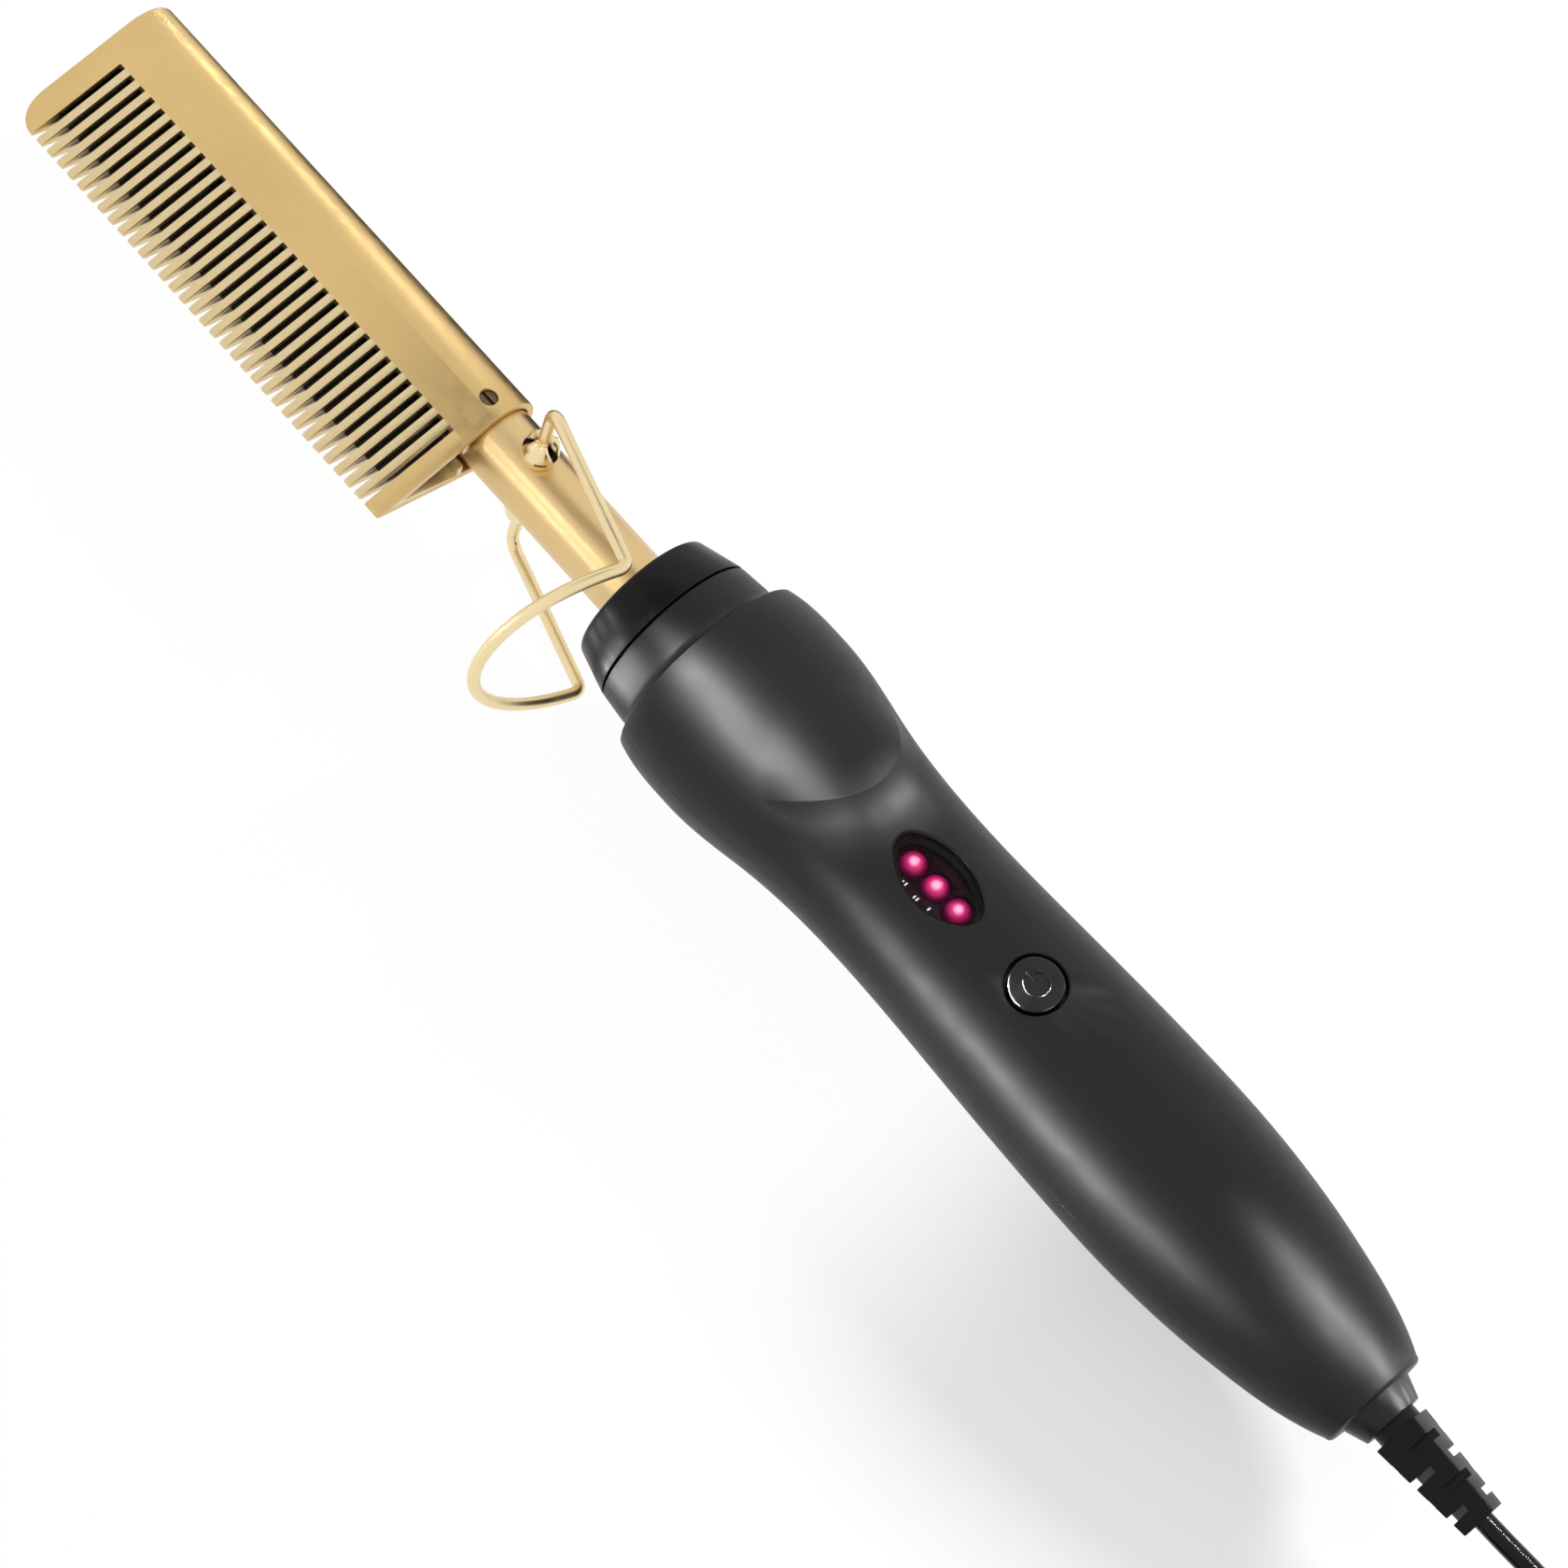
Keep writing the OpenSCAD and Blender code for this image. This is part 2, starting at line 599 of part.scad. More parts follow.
shell_start = cap_len + groove_w;
neck_in_r = spigot_r + seat_gap;
cavity_start = bush_flange_x + bush_flange_t + seat_gap;
cavity_end = handle_len - end_wall;
fillet_x = shoulder_x - shoulder_fillet;
fillet_r = shoulder_r - 0.2 - shoulder_fillet;
module shell_outside() spun() polygon(concat(
    [[0, shell_start], [joint_r, shell_start], [fillet_r, fillet_x - 0.4]],
    [for (p = arc(fillet_x, fillet_r + shoulder_fillet, shoulder_fillet, -90, 0, 6)) [p[1], p[0]]],
    sampled(shoulder_x, butt_x, profile_steps, 0),
    [for (p = arc(butt_x, butt_r - butt_round, butt_round, 90, 0, 4)) [p[1], p[0]]],
    [[0, handle_len]]));
module shell_inside() {
    deep_x = shoulder_x + 3;
    spun() polygon(concat(
        [[0, shell_start - eps], [neck_in_r, shell_start - eps], [neck_in_r, bush_flange_x - seat_gap],
            [bush_flange_r + seat_gap, bush_flange_x - seat_gap],
            [bush_flange_r + seat_gap, cavity_start]],
        sampled(deep_x, cavity_end, profile_steps, shell_wall), [[0, cavity_end]]));
    x_cylinder(journal_r + journal_gap, cavity_end - eps, handle_len + eps);
}
// Collar inside the butt that holds the swivel's flange against the end wall
keeper_x = cavity_end - swivel_flange_t - 0.6;
keeper_t = 1.6;
module swivel_keeper() difference() {
    x_cylinder(handle_r(keeper_x) - shell_wall / 2, keeper_x - keeper_t, keeper_x);
    x_cylinder(tail_r + journal_gap, keeper_x - keeper_t - eps, keeper_x + eps);
}
// The hood is a spun swelling set above the axis, cut by a slanted plane
hood_rise = 1.83;
hood_start = crown_x + 1.5;
hood_tip_x = hood_side_x + hood_run;
hood_stations = [[hood_start, handle_r(hood_start) - hood_rise, -0.03],
    [hood_tip_x + 4, handle_r(hood_tip_x) + hood_step - hood_rise - 0.5, -0.12]];
module hood() {
    slope = atan2(hood_run, handle_r(hood_tip_x) + hood_step);
    hood_steps = 8;
    hood_end = hood_tip_x + 4;
    intersection() {
        translate([0, 0, hood_rise]) spun() polygon(concat([[0, hood_start]],
            [for (i = [0:hood_steps]) let (x = hood_start + (hood_end - hood_start) * i / hood_steps)
                [cubic(hood_stations[0], hood_stations[1], x), x]],
            [[0, hood_end]]));
        translate([hood_side_x, 0, 0]) rotate([0, slope, 0])
            translate([-3 * crown_r, -crown_r, -crown_r]) cube([3 * crown_r, 2 * crown_r, 4 * crown_r]);
    }
}
screw_places = [front_screw_x, handle_len - rear_screw_inset];
module screw_boss(x) intersection() {
    translate([x, 0, -crown_r]) cylinder(r = boss_r, h = 2 * crown_r);
    shell_solid();
}
module shell_solid() {
    shell_outside();
    hood();
}
module half(top) translate([shell_start - 1, -2 * crown_r, top ? 0 : -4 * crown_r])
    cube([handle_len, 4 * crown_r, 4 * crown_r]);

// Four-arc oval: end arcs of radius e, side arcs that meet them smoothly
module oval(a, b, e) {
    side = ((a - e)^2 - (b - e)^2) / (2 * (b - e));
    side_r = b + side;
    meet_x = (a - e) * side_r / (side_r - e);
    intersection() {
        translate([0, -side]) circle(r = side_r, $fn = 96);
        translate([0, side]) circle(r = side_r, $fn = 96);
        translate([-meet_x, -b]) square([2 * meet_x, 2 * b]);
    }
    for (end = [-1, 1]) translate([end * (a - e), 0]) circle(r = e);
}
module window_oval(grow) oval(window_half_len + grow, window_half_w + grow, window_end_r + grow);
well_wall = 1.2;
well_ledge = 0.8;
well_low = lens_top - lens_t - 1;
module window_well() intersection() {
    turned() translate([window_x, 0, well_low]) linear_extrude(waist_r) window_oval(well_wall);
    shell_solid();
}
module window_cut() turned() translate([window_x, 0, 0]) {
    translate([0, 0, well_low - eps]) linear_extrude(waist_r) window_oval(-well_ledge);
    translate([0, 0, lens_top - lens_t]) linear_extrude(waist_r) window_oval(fit);
}
module button_cut() turned() translate([button_x, 0, board_top + switch_h])
    cylinder(r = button_r + button_gap, h = belly_r);
module handle_shell_top() {
    pilot = 9;
    color("#303132") placed() difference() {
        union() {
            difference() {
                intersection() { shell_solid(); half(true); }
                shell_inside();
            }
            intersection() { swivel_keeper(); half(true); }
            window_well();
            for (x = screw_places) intersection() { screw_boss(x); half(true); }
        }
        window_cut();
        button_cut();
        for (x = screw_places) translate([x, 0, -eps]) cylinder(r = screw_r + fit, h = pilot);
    }
}
post_r = 1.8;
post_places = [board_x + 12, board_x + board_len - 8];
module board_post(x) intersection() {
    turned() translate([x, 0, -crown_r]) cylinder(r = post_r, h = crown_r + board_low - seat_gap / 2);
    shell_outside();
}
module handle_shell_bottom() {
    color("#2e2f30") placed() difference() {
        union() {
            difference() {
                intersection() { shell_outside(); half(false); }
                shell_inside();
            }
            intersection() { swivel_keeper(); half(false); }
            for (x = post_places) board_post(x);
            for (x = screw_places) intersection() { screw_boss(x); half(false); }
        }
        for (x = screw_places) translate([x, 0, 0]) {
            translate([0, 0, -crown_r - eps]) cylinder(r = screw_r + 0.3, h = 2 * crown_r);
            translate([0, 0, -2 * crown_r])
                cylinder(r = screw_head_r + 0.3, h = 2 * crown_r - screw_seat);
        }
    }
}
screw_seat = 6;
module handle_screws() {
    head_h = 1.8;
    shank_h = 13;
    color("#8b8f94") placed() for (x = screw_places) translate([x, 0, -screw_seat]) difference() {
        union() {
            translate([0, 0, -head_h]) cylinder(r = screw_head_r, h = head_h);
            cylinder(r = screw_r, h = shank_h);
        }
        for (a = [0, 90]) rotate(a) translate([-1.6, -0.35, -head_h - eps]) cube([3.2, 0.7, 1]);
    }
}

// ---- Controls -----------------------------------------------------------

module window_lens() {
    color([0.08, 0.06, 0.07, 0.6]) placed() turned()
        translate([window_x, 0, lens_top - lens_t + fit / 2])
            linear_extrude(lens_t - fit / 2) window_oval(0);
}
module signal_lamps() {
    lamp_h = lens_top - lens_t - 0.25 - board_top;
    skirt_r = lamp_r + 0.3;
    color("#e0407c") placed() turned() for (i = [0:lamp_count - 1])
        translate([window_x + (i - (lamp_count - 1) / 2) * lamp_pitch, 0, board_top]) {
            cylinder(r = skirt_r, h = 0.6);
            cylinder(r = lamp_r, h = lamp_h - lamp_r);
            intersection() {
                translate([0, 0, lamp_h - lamp_r]) sphere(r = lamp_r);
                cylinder(r = lamp_r, h = lamp_h);
            }
        }
}
module circuit_board() {
    color("#2f6b3a") placed() turned()
        x_box(board_x, board_x + board_len, -board_w / 2, board_w / 2, board_low, board_top);
}
// Places on the board, as shares of its length and width
function along(share) = board_x + share * board_len;
function across(share) = share * board_w;
module board_parts() {
    z = board_low - fit;
    color("#c98f2c") placed() turned() {
        // Mains capacitor, switching device, smoothing capacitor, controller and fuse
        x_box(along(0.42), along(0.63), across(-0.25), across(0.06), z - across(0.5), z);
        x_box(along(0.27), along(0.35), across(-0.4), across(-0.17), z - across(0.38), z);
        translate([along(0.39), across(0.28), z - across(0.44)])
            cylinder(r = across(0.14), h = across(0.44));
        x_box(along(0.48), along(0.61), across(0.17), across(0.4), z - across(0.08), z);
        translate([0, across(0.3), z - across(0.08)])
            x_cylinder(across(0.07), along(0.68), along(0.82));
    }
}
module switch_body() {
    color("#1b1b1d") placed() turned() translate([button_x, 0, board_top]) difference() {
        translate([-switch_side / 2, -switch_side / 2, 0]) cube([switch_side, switch_side, switch_h]);
        translate([0, 0, 0.3]) cylinder(r = plunger_r + 0.1, h = switch_h);
    }
}
flange_low = board_top + switch_h + button_travel + 0.4;
module switch_plunger() {
    plunger_low = board_top + 0.3 + button_travel + 0.2;
    color("#d9d9d9") placed() turned() translate([button_x, 0, plunger_low])
        cylinder(r = plunger_r, h = flange_low - plunger_low);
}
module power_button() {
    crest = handle_r(button_x) + button_proud;
    color("#2a2b2c") placed() turned() {
        translate([button_x, 0, flange_low]) cylinder(r = button_r + flange_lip, h = flange_t);
        intersection() {
            translate([button_x, 0, flange_low]) cylinder(r = button_r, h = belly_r);
            x_cylinder(crest, button_x - 2 * button_r, button_x + 2 * button_r);
        }
    }
}

// ---- Swivel and lead ----------------------------------------------------

tail_x = keeper_x - keeper_t - 6;
socket_x = cavity_end - 0.5;
module swivel_sleeve() {
    wire_bore = 2.2;
    cone_root_r = journal_r - 0.02;
    color("#3a3b3c") placed() spun() polygon([
        [wire_bore, tail_x], [tail_r, tail_x], [tail_r, keeper_x + 0.3],
        [swivel_flange_r, keeper_x + 0.3], [swivel_flange_r, keeper_x + 0.3 + swivel_flange_t],
        [journal_r, keeper_x + 0.3 + swivel_flange_t], [journal_r, handle_len - 0.1],
        [cone_root_r, handle_len + 0.1], [cone_end_r, handle_len + cone_len],
        [relief_neck_r + fit, handle_len + cone_len], [relief_neck_r + fit, socket_x],
        [wire_bore, socket_x]]);
}
ring_places = [tail_x + 0.6, tail_x + 0.6 + ring_w + 1];
module contact_rings() {
    color("#c9a14a") placed() for (x = ring_places) difference() {
        x_cylinder(ring_r, x, x + ring_w);
        x_cylinder(tail_r + 0.01, x - eps, x + ring_w + eps);
    }
}
holder_len = 4;
holder_x = tail_x - 6.4;
holder_half_w = 5.2;
strip_t = 0.4;
strip_w = 1.4;
contact_h = 0.5;
strip_z = -ring_r - 0.3 - contact_h - strip_t;
strip_places = [-2.6, 1.2];
module brush_holder() {
    color("#b0743c") placed() difference() {
        intersection() {
            x_box(holder_x, holder_x + holder_len, -holder_half_w, holder_half_w, -crown_r, strip_z + 1);
            x_cylinder(handle_r(holder_x + holder_len) - shell_wall - seat_gap, holder_x - 1, tail_x);
        }
        for (y = strip_places) x_box(holder_x + 1, tail_x, y - fit, y + strip_w + fit, strip_z - fit,
            strip_z + strip_t + fit);
    }
}
module brush_springs() {
    color("#c9a14a") placed() for (i = [0, 1]) {
        y = strip_places[i];
        x_box(holder_x + 1 + fit, ring_places[i] + ring_w, y, y + strip_w, strip_z, strip_z + strip_t);
        x_box(ring_places[i] + 0.2, ring_places[i] + ring_w - 0.2,
            y, y + strip_w, strip_z, -ring_r - 0.3);
    }
}
module mains_leads() {
    y = holder_half_w - lead_r - 0.2;
    board_end = board_x + board_len;
    color("#6b3f2a") placed() for (side = [-1, 1]) swept([[holder_x - fit, side * y, strip_z - 1],
        [holder_x - 3, side * y, strip_z - 1], [holder_x - 10, side * y, -3],
        [board_end + 4, side * y, 2],
        [board_end - 3, side * y, underside(side * y) - lead_r - 0.3]], lead_r, 6);
}
relief_x = handle_len + cone_len + neck_len;
// Square taper: trapezoids drawn across both sides of the square
module taper_plate() translate([0, 0, -relief_root])
    linear_extrude(2 * relief_root) polygon([
        [0, relief_root / sqrt(2)], [relief_len, relief_tip / sqrt(2)],
        [relief_len, -relief_tip / sqrt(2)], [0, -relief_root / sqrt(2)]]);
module strain_relief() {
    slot_floor = cord_r + 0.35;
    bore_len = 6;
    color("#141516") placed() difference() {
        union() {
            x_cylinder(relief_neck_r, socket_x + fit, relief_x);
            translate([relief_x, 0, 0]) rotate([45, 0, 0]) intersection() {
                taper_plate();
                rotate([90, 0, 0]) taper_plate();
            }
        }
        for (i = [0:relief_slots - 1], side = [0, 1])
            translate([relief_x + relief_slot_pitch * (i + 1), 0, 0])
                rotate([90 * (i % 2), 0, 0]) mirror([0, 0, side])
                    translate([-relief_slot_w / 2, -relief_root, slot_floor])
                        cube([relief_slot_w, 2 * relief_root, relief_root]);
        x_cylinder(cord_r + seat_gap, relief_end - bore_len, relief_end + eps);
    }
}
// Route of the lead, from inside the strain relief down to the coil
lead_route = [[147, 5.8, 20.7], [152.4, 5.8, 20.7], [157, 6, 20.5], [161.5, 6.6, 19.7], [166, 7.5, 18.1],
    [170.3, 8.5, 15.8], [174.5, 9.5, 12.9], [178.7, 10.5, 9.8], [183, 11.5, 6.9], [187.5, 12.6, 4.5],
    [192.3, 13.8, 2.9], [197, 14.9, 2.3], [201.5, 16, 2.2], [206, 17.1, 2.2]];
// Route of the end that leaves the coil's top layer for the plug
tail_route = [[218, -31.1, 11.8], [213.2, -32.3, 11.4], [208.5, -33.4, 10.4], [204, -34.4, 9],
    [199.5, -35.1, 7.7], [195, -35.4, 7], [190.5, -35.5, 6.9]];
coil_centre = [212, -7];
coil_low = tie_t + 0.1;
coil_half_w = (layer_turns + 1) * cord_d / 2;
coil_h = coil_layers * cord_d;
module cord_lead() color("#101112") swept(lead_route, cord_r, 8);
module cord_tail() color("#101112") swept(tail_route, cord_r, 8);
module cord_coil() {
    edge = 1.2;
    color("#101112") translate([coil_centre[0], coil_centre[1], coil_low]) rotate_extrude()
        translate([coil_d / 2 - coil_half_w, 0]) polygon([[edge, 0], [2 * coil_half_w - edge, 0],
            [2 * coil_half_w, edge], [2 * coil_half_w, coil_h - edge], [2 * coil_half_w - edge, coil_h],
            [edge, coil_h], [0, coil_h - edge], [0, edge]]);
}
module coil_tie() {
    play = 0.5;
    inner = [2 * coil_half_w + 2 * play, tie_w + 1, coil_h + 0.2];
    color("#1d1e20") translate([coil_centre[0] + coil_d / 2, coil_centre[1], 0]) difference() {
        translate([-inner[0] / 2 - tie_t, -tie_w / 2, 0])
            cube([inner[0] + 2 * tie_t, tie_w, inner[2] + 2 * tie_t]);
        translate([-inner[0] / 2, -inner[1] / 2, tie_t]) cube(inner);
    }
}

// ---- Plug ---------------------------------------------------------------

plug_back = [192, -35.5];
plug_face_x = plug_back[0] - plug_len;
pin_root_len = 8;
module plug_body() {
    collar_r = cord_r + 1.6;
    half_t = plug_t / 2;
    color("#17181a") translate([0, plug_back[1], half_t]) difference() {
        union() {
            intersection() {
                translate([0, 0, -half_t]) linear_extrude(plug_t) polygon([[plug_face_x, -plug_w / 2],
                    [plug_face_x + 13, -plug_w / 2], [plug_back[0] - 11, -7], [plug_back[0] - 8, -5],
                    [plug_back[0] - 8, 5], [plug_back[0] - 11, 7], [plug_face_x + 13, plug_w / 2],
                    [plug_face_x, plug_w / 2]]);
                rotate([90, 0, 0]) translate([0, 0, -plug_w]) linear_extrude(2 * plug_w) polygon([
                    [plug_face_x, -half_t], [plug_back[0] - 18, -half_t], [plug_back[0] - 8, -4.4],
                    [plug_back[0] - 8, 4.4], [plug_back[0] - 18, half_t], [plug_face_x, half_t]]);
            }
            x_cylinder(collar_r, plug_back[0] - 9, plug_back[0]);
            for (side = [-1, 1]) translate([0, side * pin_spacing / 2, 0])
                x_cylinder(pin_sleeve_r, plug_face_x - pin_sleeve_len, plug_face_x + eps);
        }
        x_cylinder(cord_r + seat_gap, plug_back[0] - 2.5, plug_back[0] + eps);
        for (side = [-1, 1]) translate([0, side * pin_spacing / 2, 0])
            x_cylinder(pin_root_r, plug_face_x - pin_sleeve_len - eps, plug_face_x + pin_root_len);
    }
}
module plug_pins() {
    color("#c8ccd0") translate([0, plug_back[1], plug_t / 2]) for (side = [-1, 1])
        translate([0, side * pin_spacing / 2, 0]) {
            x_cylinder(pin_r, plug_face_x - pin_len, plug_face_x - pin_sleeve_len);
            x_cylinder(pin_root_r, plug_face_x - pin_sleeve_len - eps, plug_face_x + pin_root_len);
        }
}

comb_head();
lock_screw();
heater_core();
heater_film();
heat_bars();
temperature_sensor();
heater_leads();
guard_strip();
shank_tube();
hinge_studs();
wire_rest();
front_cap();
tube_bush();
tube_clip();
handle_shell_top();
handle_shell_bottom();
handle_screws();
window_lens();
signal_lamps();
circuit_board();
board_parts();
switch_body();
switch_plunger();
power_button();
swivel_sleeve();
contact_rings();
brush_holder();
brush_springs();
mains_leads();
strain_relief();
cord_lead();
cord_coil();
coil_tie();
cord_tail();
plug_body();
plug_pins();
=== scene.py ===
"""Heated straightening comb: slotted gold head, folding wire rest, round handle, swivel lead.

The pieces are drawn in millimetres in the comb's own frame (x = 0 at the cap's front rim,
+x towards the lead, +y towards the spine, +z out of the blade's flat) and placed in metres.
The lead, its tie and the plug lie on the floor and are drawn from the model's origin.
"""

import json
import math
from types import SimpleNamespace

import bmesh
import bpy
import numpy as np
from bpy.props import FloatProperty, FloatVectorProperty, IntProperty, PointerProperty
from mathutils import Matrix, Vector


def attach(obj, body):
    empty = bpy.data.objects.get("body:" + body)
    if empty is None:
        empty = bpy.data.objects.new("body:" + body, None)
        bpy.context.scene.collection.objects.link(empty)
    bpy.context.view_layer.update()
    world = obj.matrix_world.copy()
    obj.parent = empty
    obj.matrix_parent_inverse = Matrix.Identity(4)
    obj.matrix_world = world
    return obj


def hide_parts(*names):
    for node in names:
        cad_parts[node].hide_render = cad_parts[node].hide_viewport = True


bl_info = {
    "name": "Heated Comb",
    "version": (1, 0, 0),
    "blender": (4, 5, 0),
    "location": "View3D > Sidebar > Comb",
    "description": "Builds a heated straightening comb, its lead and its studio",
    "category": "Add Mesh",
}

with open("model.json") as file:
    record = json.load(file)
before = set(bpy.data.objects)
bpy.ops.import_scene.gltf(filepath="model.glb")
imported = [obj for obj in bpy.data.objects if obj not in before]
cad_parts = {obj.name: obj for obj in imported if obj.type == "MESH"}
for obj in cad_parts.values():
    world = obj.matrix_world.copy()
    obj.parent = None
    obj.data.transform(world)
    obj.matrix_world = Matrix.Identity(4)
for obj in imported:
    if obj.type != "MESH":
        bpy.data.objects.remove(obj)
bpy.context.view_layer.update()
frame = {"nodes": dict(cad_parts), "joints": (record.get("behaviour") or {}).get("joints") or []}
nodes = frame["nodes"]
joints = {joint["name"]: joint for joint in frame["joints"]}

HINGE_X = -25.15
ORIGIN = np.array(joints["rest_hinge"]["pos_m"]) - (HINGE_X / 1000, 0, 0)
CONTROLS_TURN = math.radians(10)


# ---- Sizes and colours that a user would change -----------------------------


def length(name, description, millimetres):
    return FloatProperty(
        name=name, description=description, default=millimetres / 1000, min=0.0, precision=5,
        unit="LENGTH",
    )


def count(name, description, default):
    return IntProperty(name=name, description=description, default=default, min=1)


def colour(name, description, default):
    return FloatVectorProperty(
        name=name, description=description, default=default, subtype="COLOR", size=3, min=0.0,
        max=1.0,
    )


class HeadSizes(bpy.types.PropertyGroup):
    near: length("Bare Shank", "Length of bare shank between cap and head", 33.4)
    long: length("Length", "Length of the head along the spine", 87.0)
    spine: length("Spine Radius", "Radius of the round spine", 7.4)
    tip: length("Tip Radius", "Radius of the rounded tips", 0.6)
    reach: length("Reach", "Distance of the tips from the spine's axis", 23.9)
    channel: length("Channel Radius", "Radius of the heated channel", 6.2)
    apex: length("Hollow Depth", "Distance of the hollow's end from the spine's axis", 18.5)
    root: length("Slot Root", "Distance of the slots' ends from the spine's axis", 7.2)
    ledge: length("Ledge Thickness", "Thickness of the ledges across the hollow", 1.0)
    ledge_gap: length("Ledge Gap", "Gap between the two ledges", 4.4)
    first: length("First Slot", "Distance of the first slot's middle from the near end", 3.5)
    slot: length("Slot Width", "Width of a slot", 1.1)
    pitch: length("Slot Pitch", "Distance from slot to slot", 2.45)
    corner: length("Tip Corner", "Radius of the far block's corner", 4.5)
    spine_corner: length("Spine Corner", "Radius of the spine's far corner", 1.6)
    bevel: length("Edge", "Radius of the sawn edges", 0.1)
    screw: length("Screw Hole", "Radius of the lock screw's hole", 1.4)
    screw_in: length("Screw Inset", "Distance of the lock screw from the near end", 3.6)
    slots: count("Slots", "Number of slots", 33)


class ShankSizes(bpy.types.PropertyGroup):
    radius: length("Tube Radius", "Outer radius of the shank tube", 6.0)
    wall: length("Tube Wall", "Wall of the shank tube", 0.8)
    stud: length("Stud Radius", "Radius of a hinge stud's ball", 2.9)
    mouth: length("Stud Mouth", "Height of a stud's mouth above the axis", 10.5)
    wire: length("Wire Radius", "Radius of the rest's wire", 1.0)
    half: length("Half Width", "Distance of a leg from the middle of the rest", 19.7)
    leg: length("Leg Length", "Distance of the foot loop from the hinge", 27.7)
    hinge_bend: length("Hinge Bend", "Radius of the bend beside a stud", 2.4)
    foot_bend: length("Foot Bend", "Radius of the bend into the foot loop", 1.6)
    angle: FloatProperty(
        name="Rest Angle", description="Angle of the folded rest below the shank",
        default=math.radians(17.5), subtype="ANGLE",
    )


class HandleSizes(bpy.types.PropertyGroup):
    long: length("Length", "Distance of the butt from the cap's rim", 161.8)
    crown: length("Crown Radius", "Radius behind the shoulder", 18.05)
    waist: length("Waist Radius", "Radius at the lamp window", 14.63)
    belly: length("Belly Radius", "Radius where the palm lies", 16.1)
    wall: length("Wall", "Thickness of the shells", 1.8)
    hood_rise: length("Hood Rise", "Height of the hood's own axis", 1.83)
    hood_step: length("Hood Step", "Height of the hood's edge", 1.2)
    window_x: length("Window Place", "Distance of the window from the cap's rim", 65.1)
    window_long: length("Window Length", "Half length of the window", 8.5)
    window_wide: length("Window Width", "Half width of the window", 4.9)
    window_end: length("Window End", "Radius of the window's ends", 3.0)
    lens_top: length("Lens Top", "Height of the lens above the axis", 12.9)
    lamp: length("Lamp Radius", "Radius of a lamp", 2.4)
    lamp_pitch: length("Lamp Pitch", "Distance from lamp to lamp", 4.85)
    button_x: length("Button Place", "Distance of the button from the cap's rim", 86.3)
    button: length("Button Radius", "Radius of the power button", 4.3)
    button_gap: length("Button Gap", "Gap round the power button", 0.45)
    lamps: count("Lamps", "Number of signal lamps", 3)


class LeadSizes(bpy.types.PropertyGroup):
    diameter: length("Diameter", "Diameter of the lead", 3.2)
    coil: length("Coil Diameter", "Diameter at the middle of the coil's turns", 38.0)
    relief: length("Relief Length", "Length of the strain relief's square part", 17.1)
    relief_root: length("Relief Root", "Half diagonal of the strain relief's root", 5.4)
    relief_tip: length("Relief Tip", "Half diagonal of the strain relief's tip", 4.1)
    slot: length("Relief Slot", "Width of a slot in the strain relief", 1.3)
    slot_pitch: length("Relief Pitch", "Distance from slot to slot", 3.55)
    plug_wide: length("Plug Width", "Width of the plug's face", 35.3)
    plug_thick: length("Plug Thickness", "Thickness of the plug", 13.7)
    pin: length("Pin Radius", "Radius of a plug pin", 2.0)
    pin_long: length("Pin Length", "Length of a plug pin", 19.0)
    pin_gap: length("Pin Spacing", "Distance between the pins", 18.6)
    layers: count("Coil Layers", "Layers of turns in the coil", 4)


class Finishes(bpy.types.PropertyGroup):
    gold: colour("Gold", "Anodised gold of the head", (0.715, 0.505, 0.218))
    pale_gold: colour("Pale Gold", "Sawn teeth", (0.73, 0.605, 0.36))
    tube_gold: colour("Tube Gold", "Polished gold of shank and rest", (0.74, 0.535, 0.26))
    wire_gold: colour("Wire Gold", "Pale gold of the rest", (0.88, 0.72, 0.42))
    # Painted shade: the dark inside the head's hollow and slots, and in the studs' creases
    hollow: colour("Hollow", "Inside of the head", (0.010, 0.006, 0.004))
    charcoal: colour("Charcoal", "Handle shells", (0.0055, 0.0058, 0.0060))
    gloss_black: colour("Gloss Black", "Front cap and swivel", (0.0030, 0.0030, 0.0033))
    rubber: colour("Rubber", "Strain relief", (0.0045, 0.0045, 0.005))
    lead: colour("Lead", "Jacket of the lead", (0.0022, 0.0022, 0.0025))
    lamp: colour("Lamp", "Body of the signal lamps", (0.50, 0.010, 0.135))
    lamp_core: colour("Lamp Core", "Middle of the signal lamps", (1.0, 0.62, 0.80))
    nickel: colour("Nickel", "Plug pins", (0.62, 0.60, 0.57))


class StageSizes(bpy.types.PropertyGroup):
    distance: length("Camera Distance", "Distance of the camera from its target", 750.0)
    lens: FloatProperty(name="Lens", description="Focal length", default=115.7, min=1.0, unit="CAMERA")
    floor: colour("Floor", "Floor and backdrop", (0.50, 0.50, 0.50))
    key: FloatProperty(name="Key Power", description="Power of the key lamp in watts", default=11.0)
    glint: FloatProperty(name="Glint", description="Strength of the lamps that only gloss shows", default=1.0)


GROUPS = {
    "comb_head": HeadSizes, "comb_shank": ShankSizes, "comb_handle": HandleSizes,
    "comb_lead": LeadSizes, "comb_finish": Finishes, "comb_stage": StageSizes,
}


def sizes(context, group):
    """A group's values, its lengths in millimetres."""
    values = getattr(context.scene, group)
    found = {}
    for key, prop in values.bl_rna.properties.items():
        if key in ("rna_type", "name"):
            continue
        value = getattr(values, key)
        if getattr(prop, "unit", "NONE") == "LENGTH":
            value = round(value * 1000, 4)
        elif getattr(prop, "is_array", False):
            value = tuple(value)
        found[key] = value
    return SimpleNamespace(**found)


# ---- Mesh making --------------------------------------------------------------


def placed(points):
    """Points in the comb's own frame, in millimetres, as points of the model in metres."""
    return np.asarray(points, float) / 1000 + ORIGIN


def on_floor(points):
    """Points from the model's origin, in millimetres, as points of the model in metres."""
    return np.asarray(points, float) / 1000


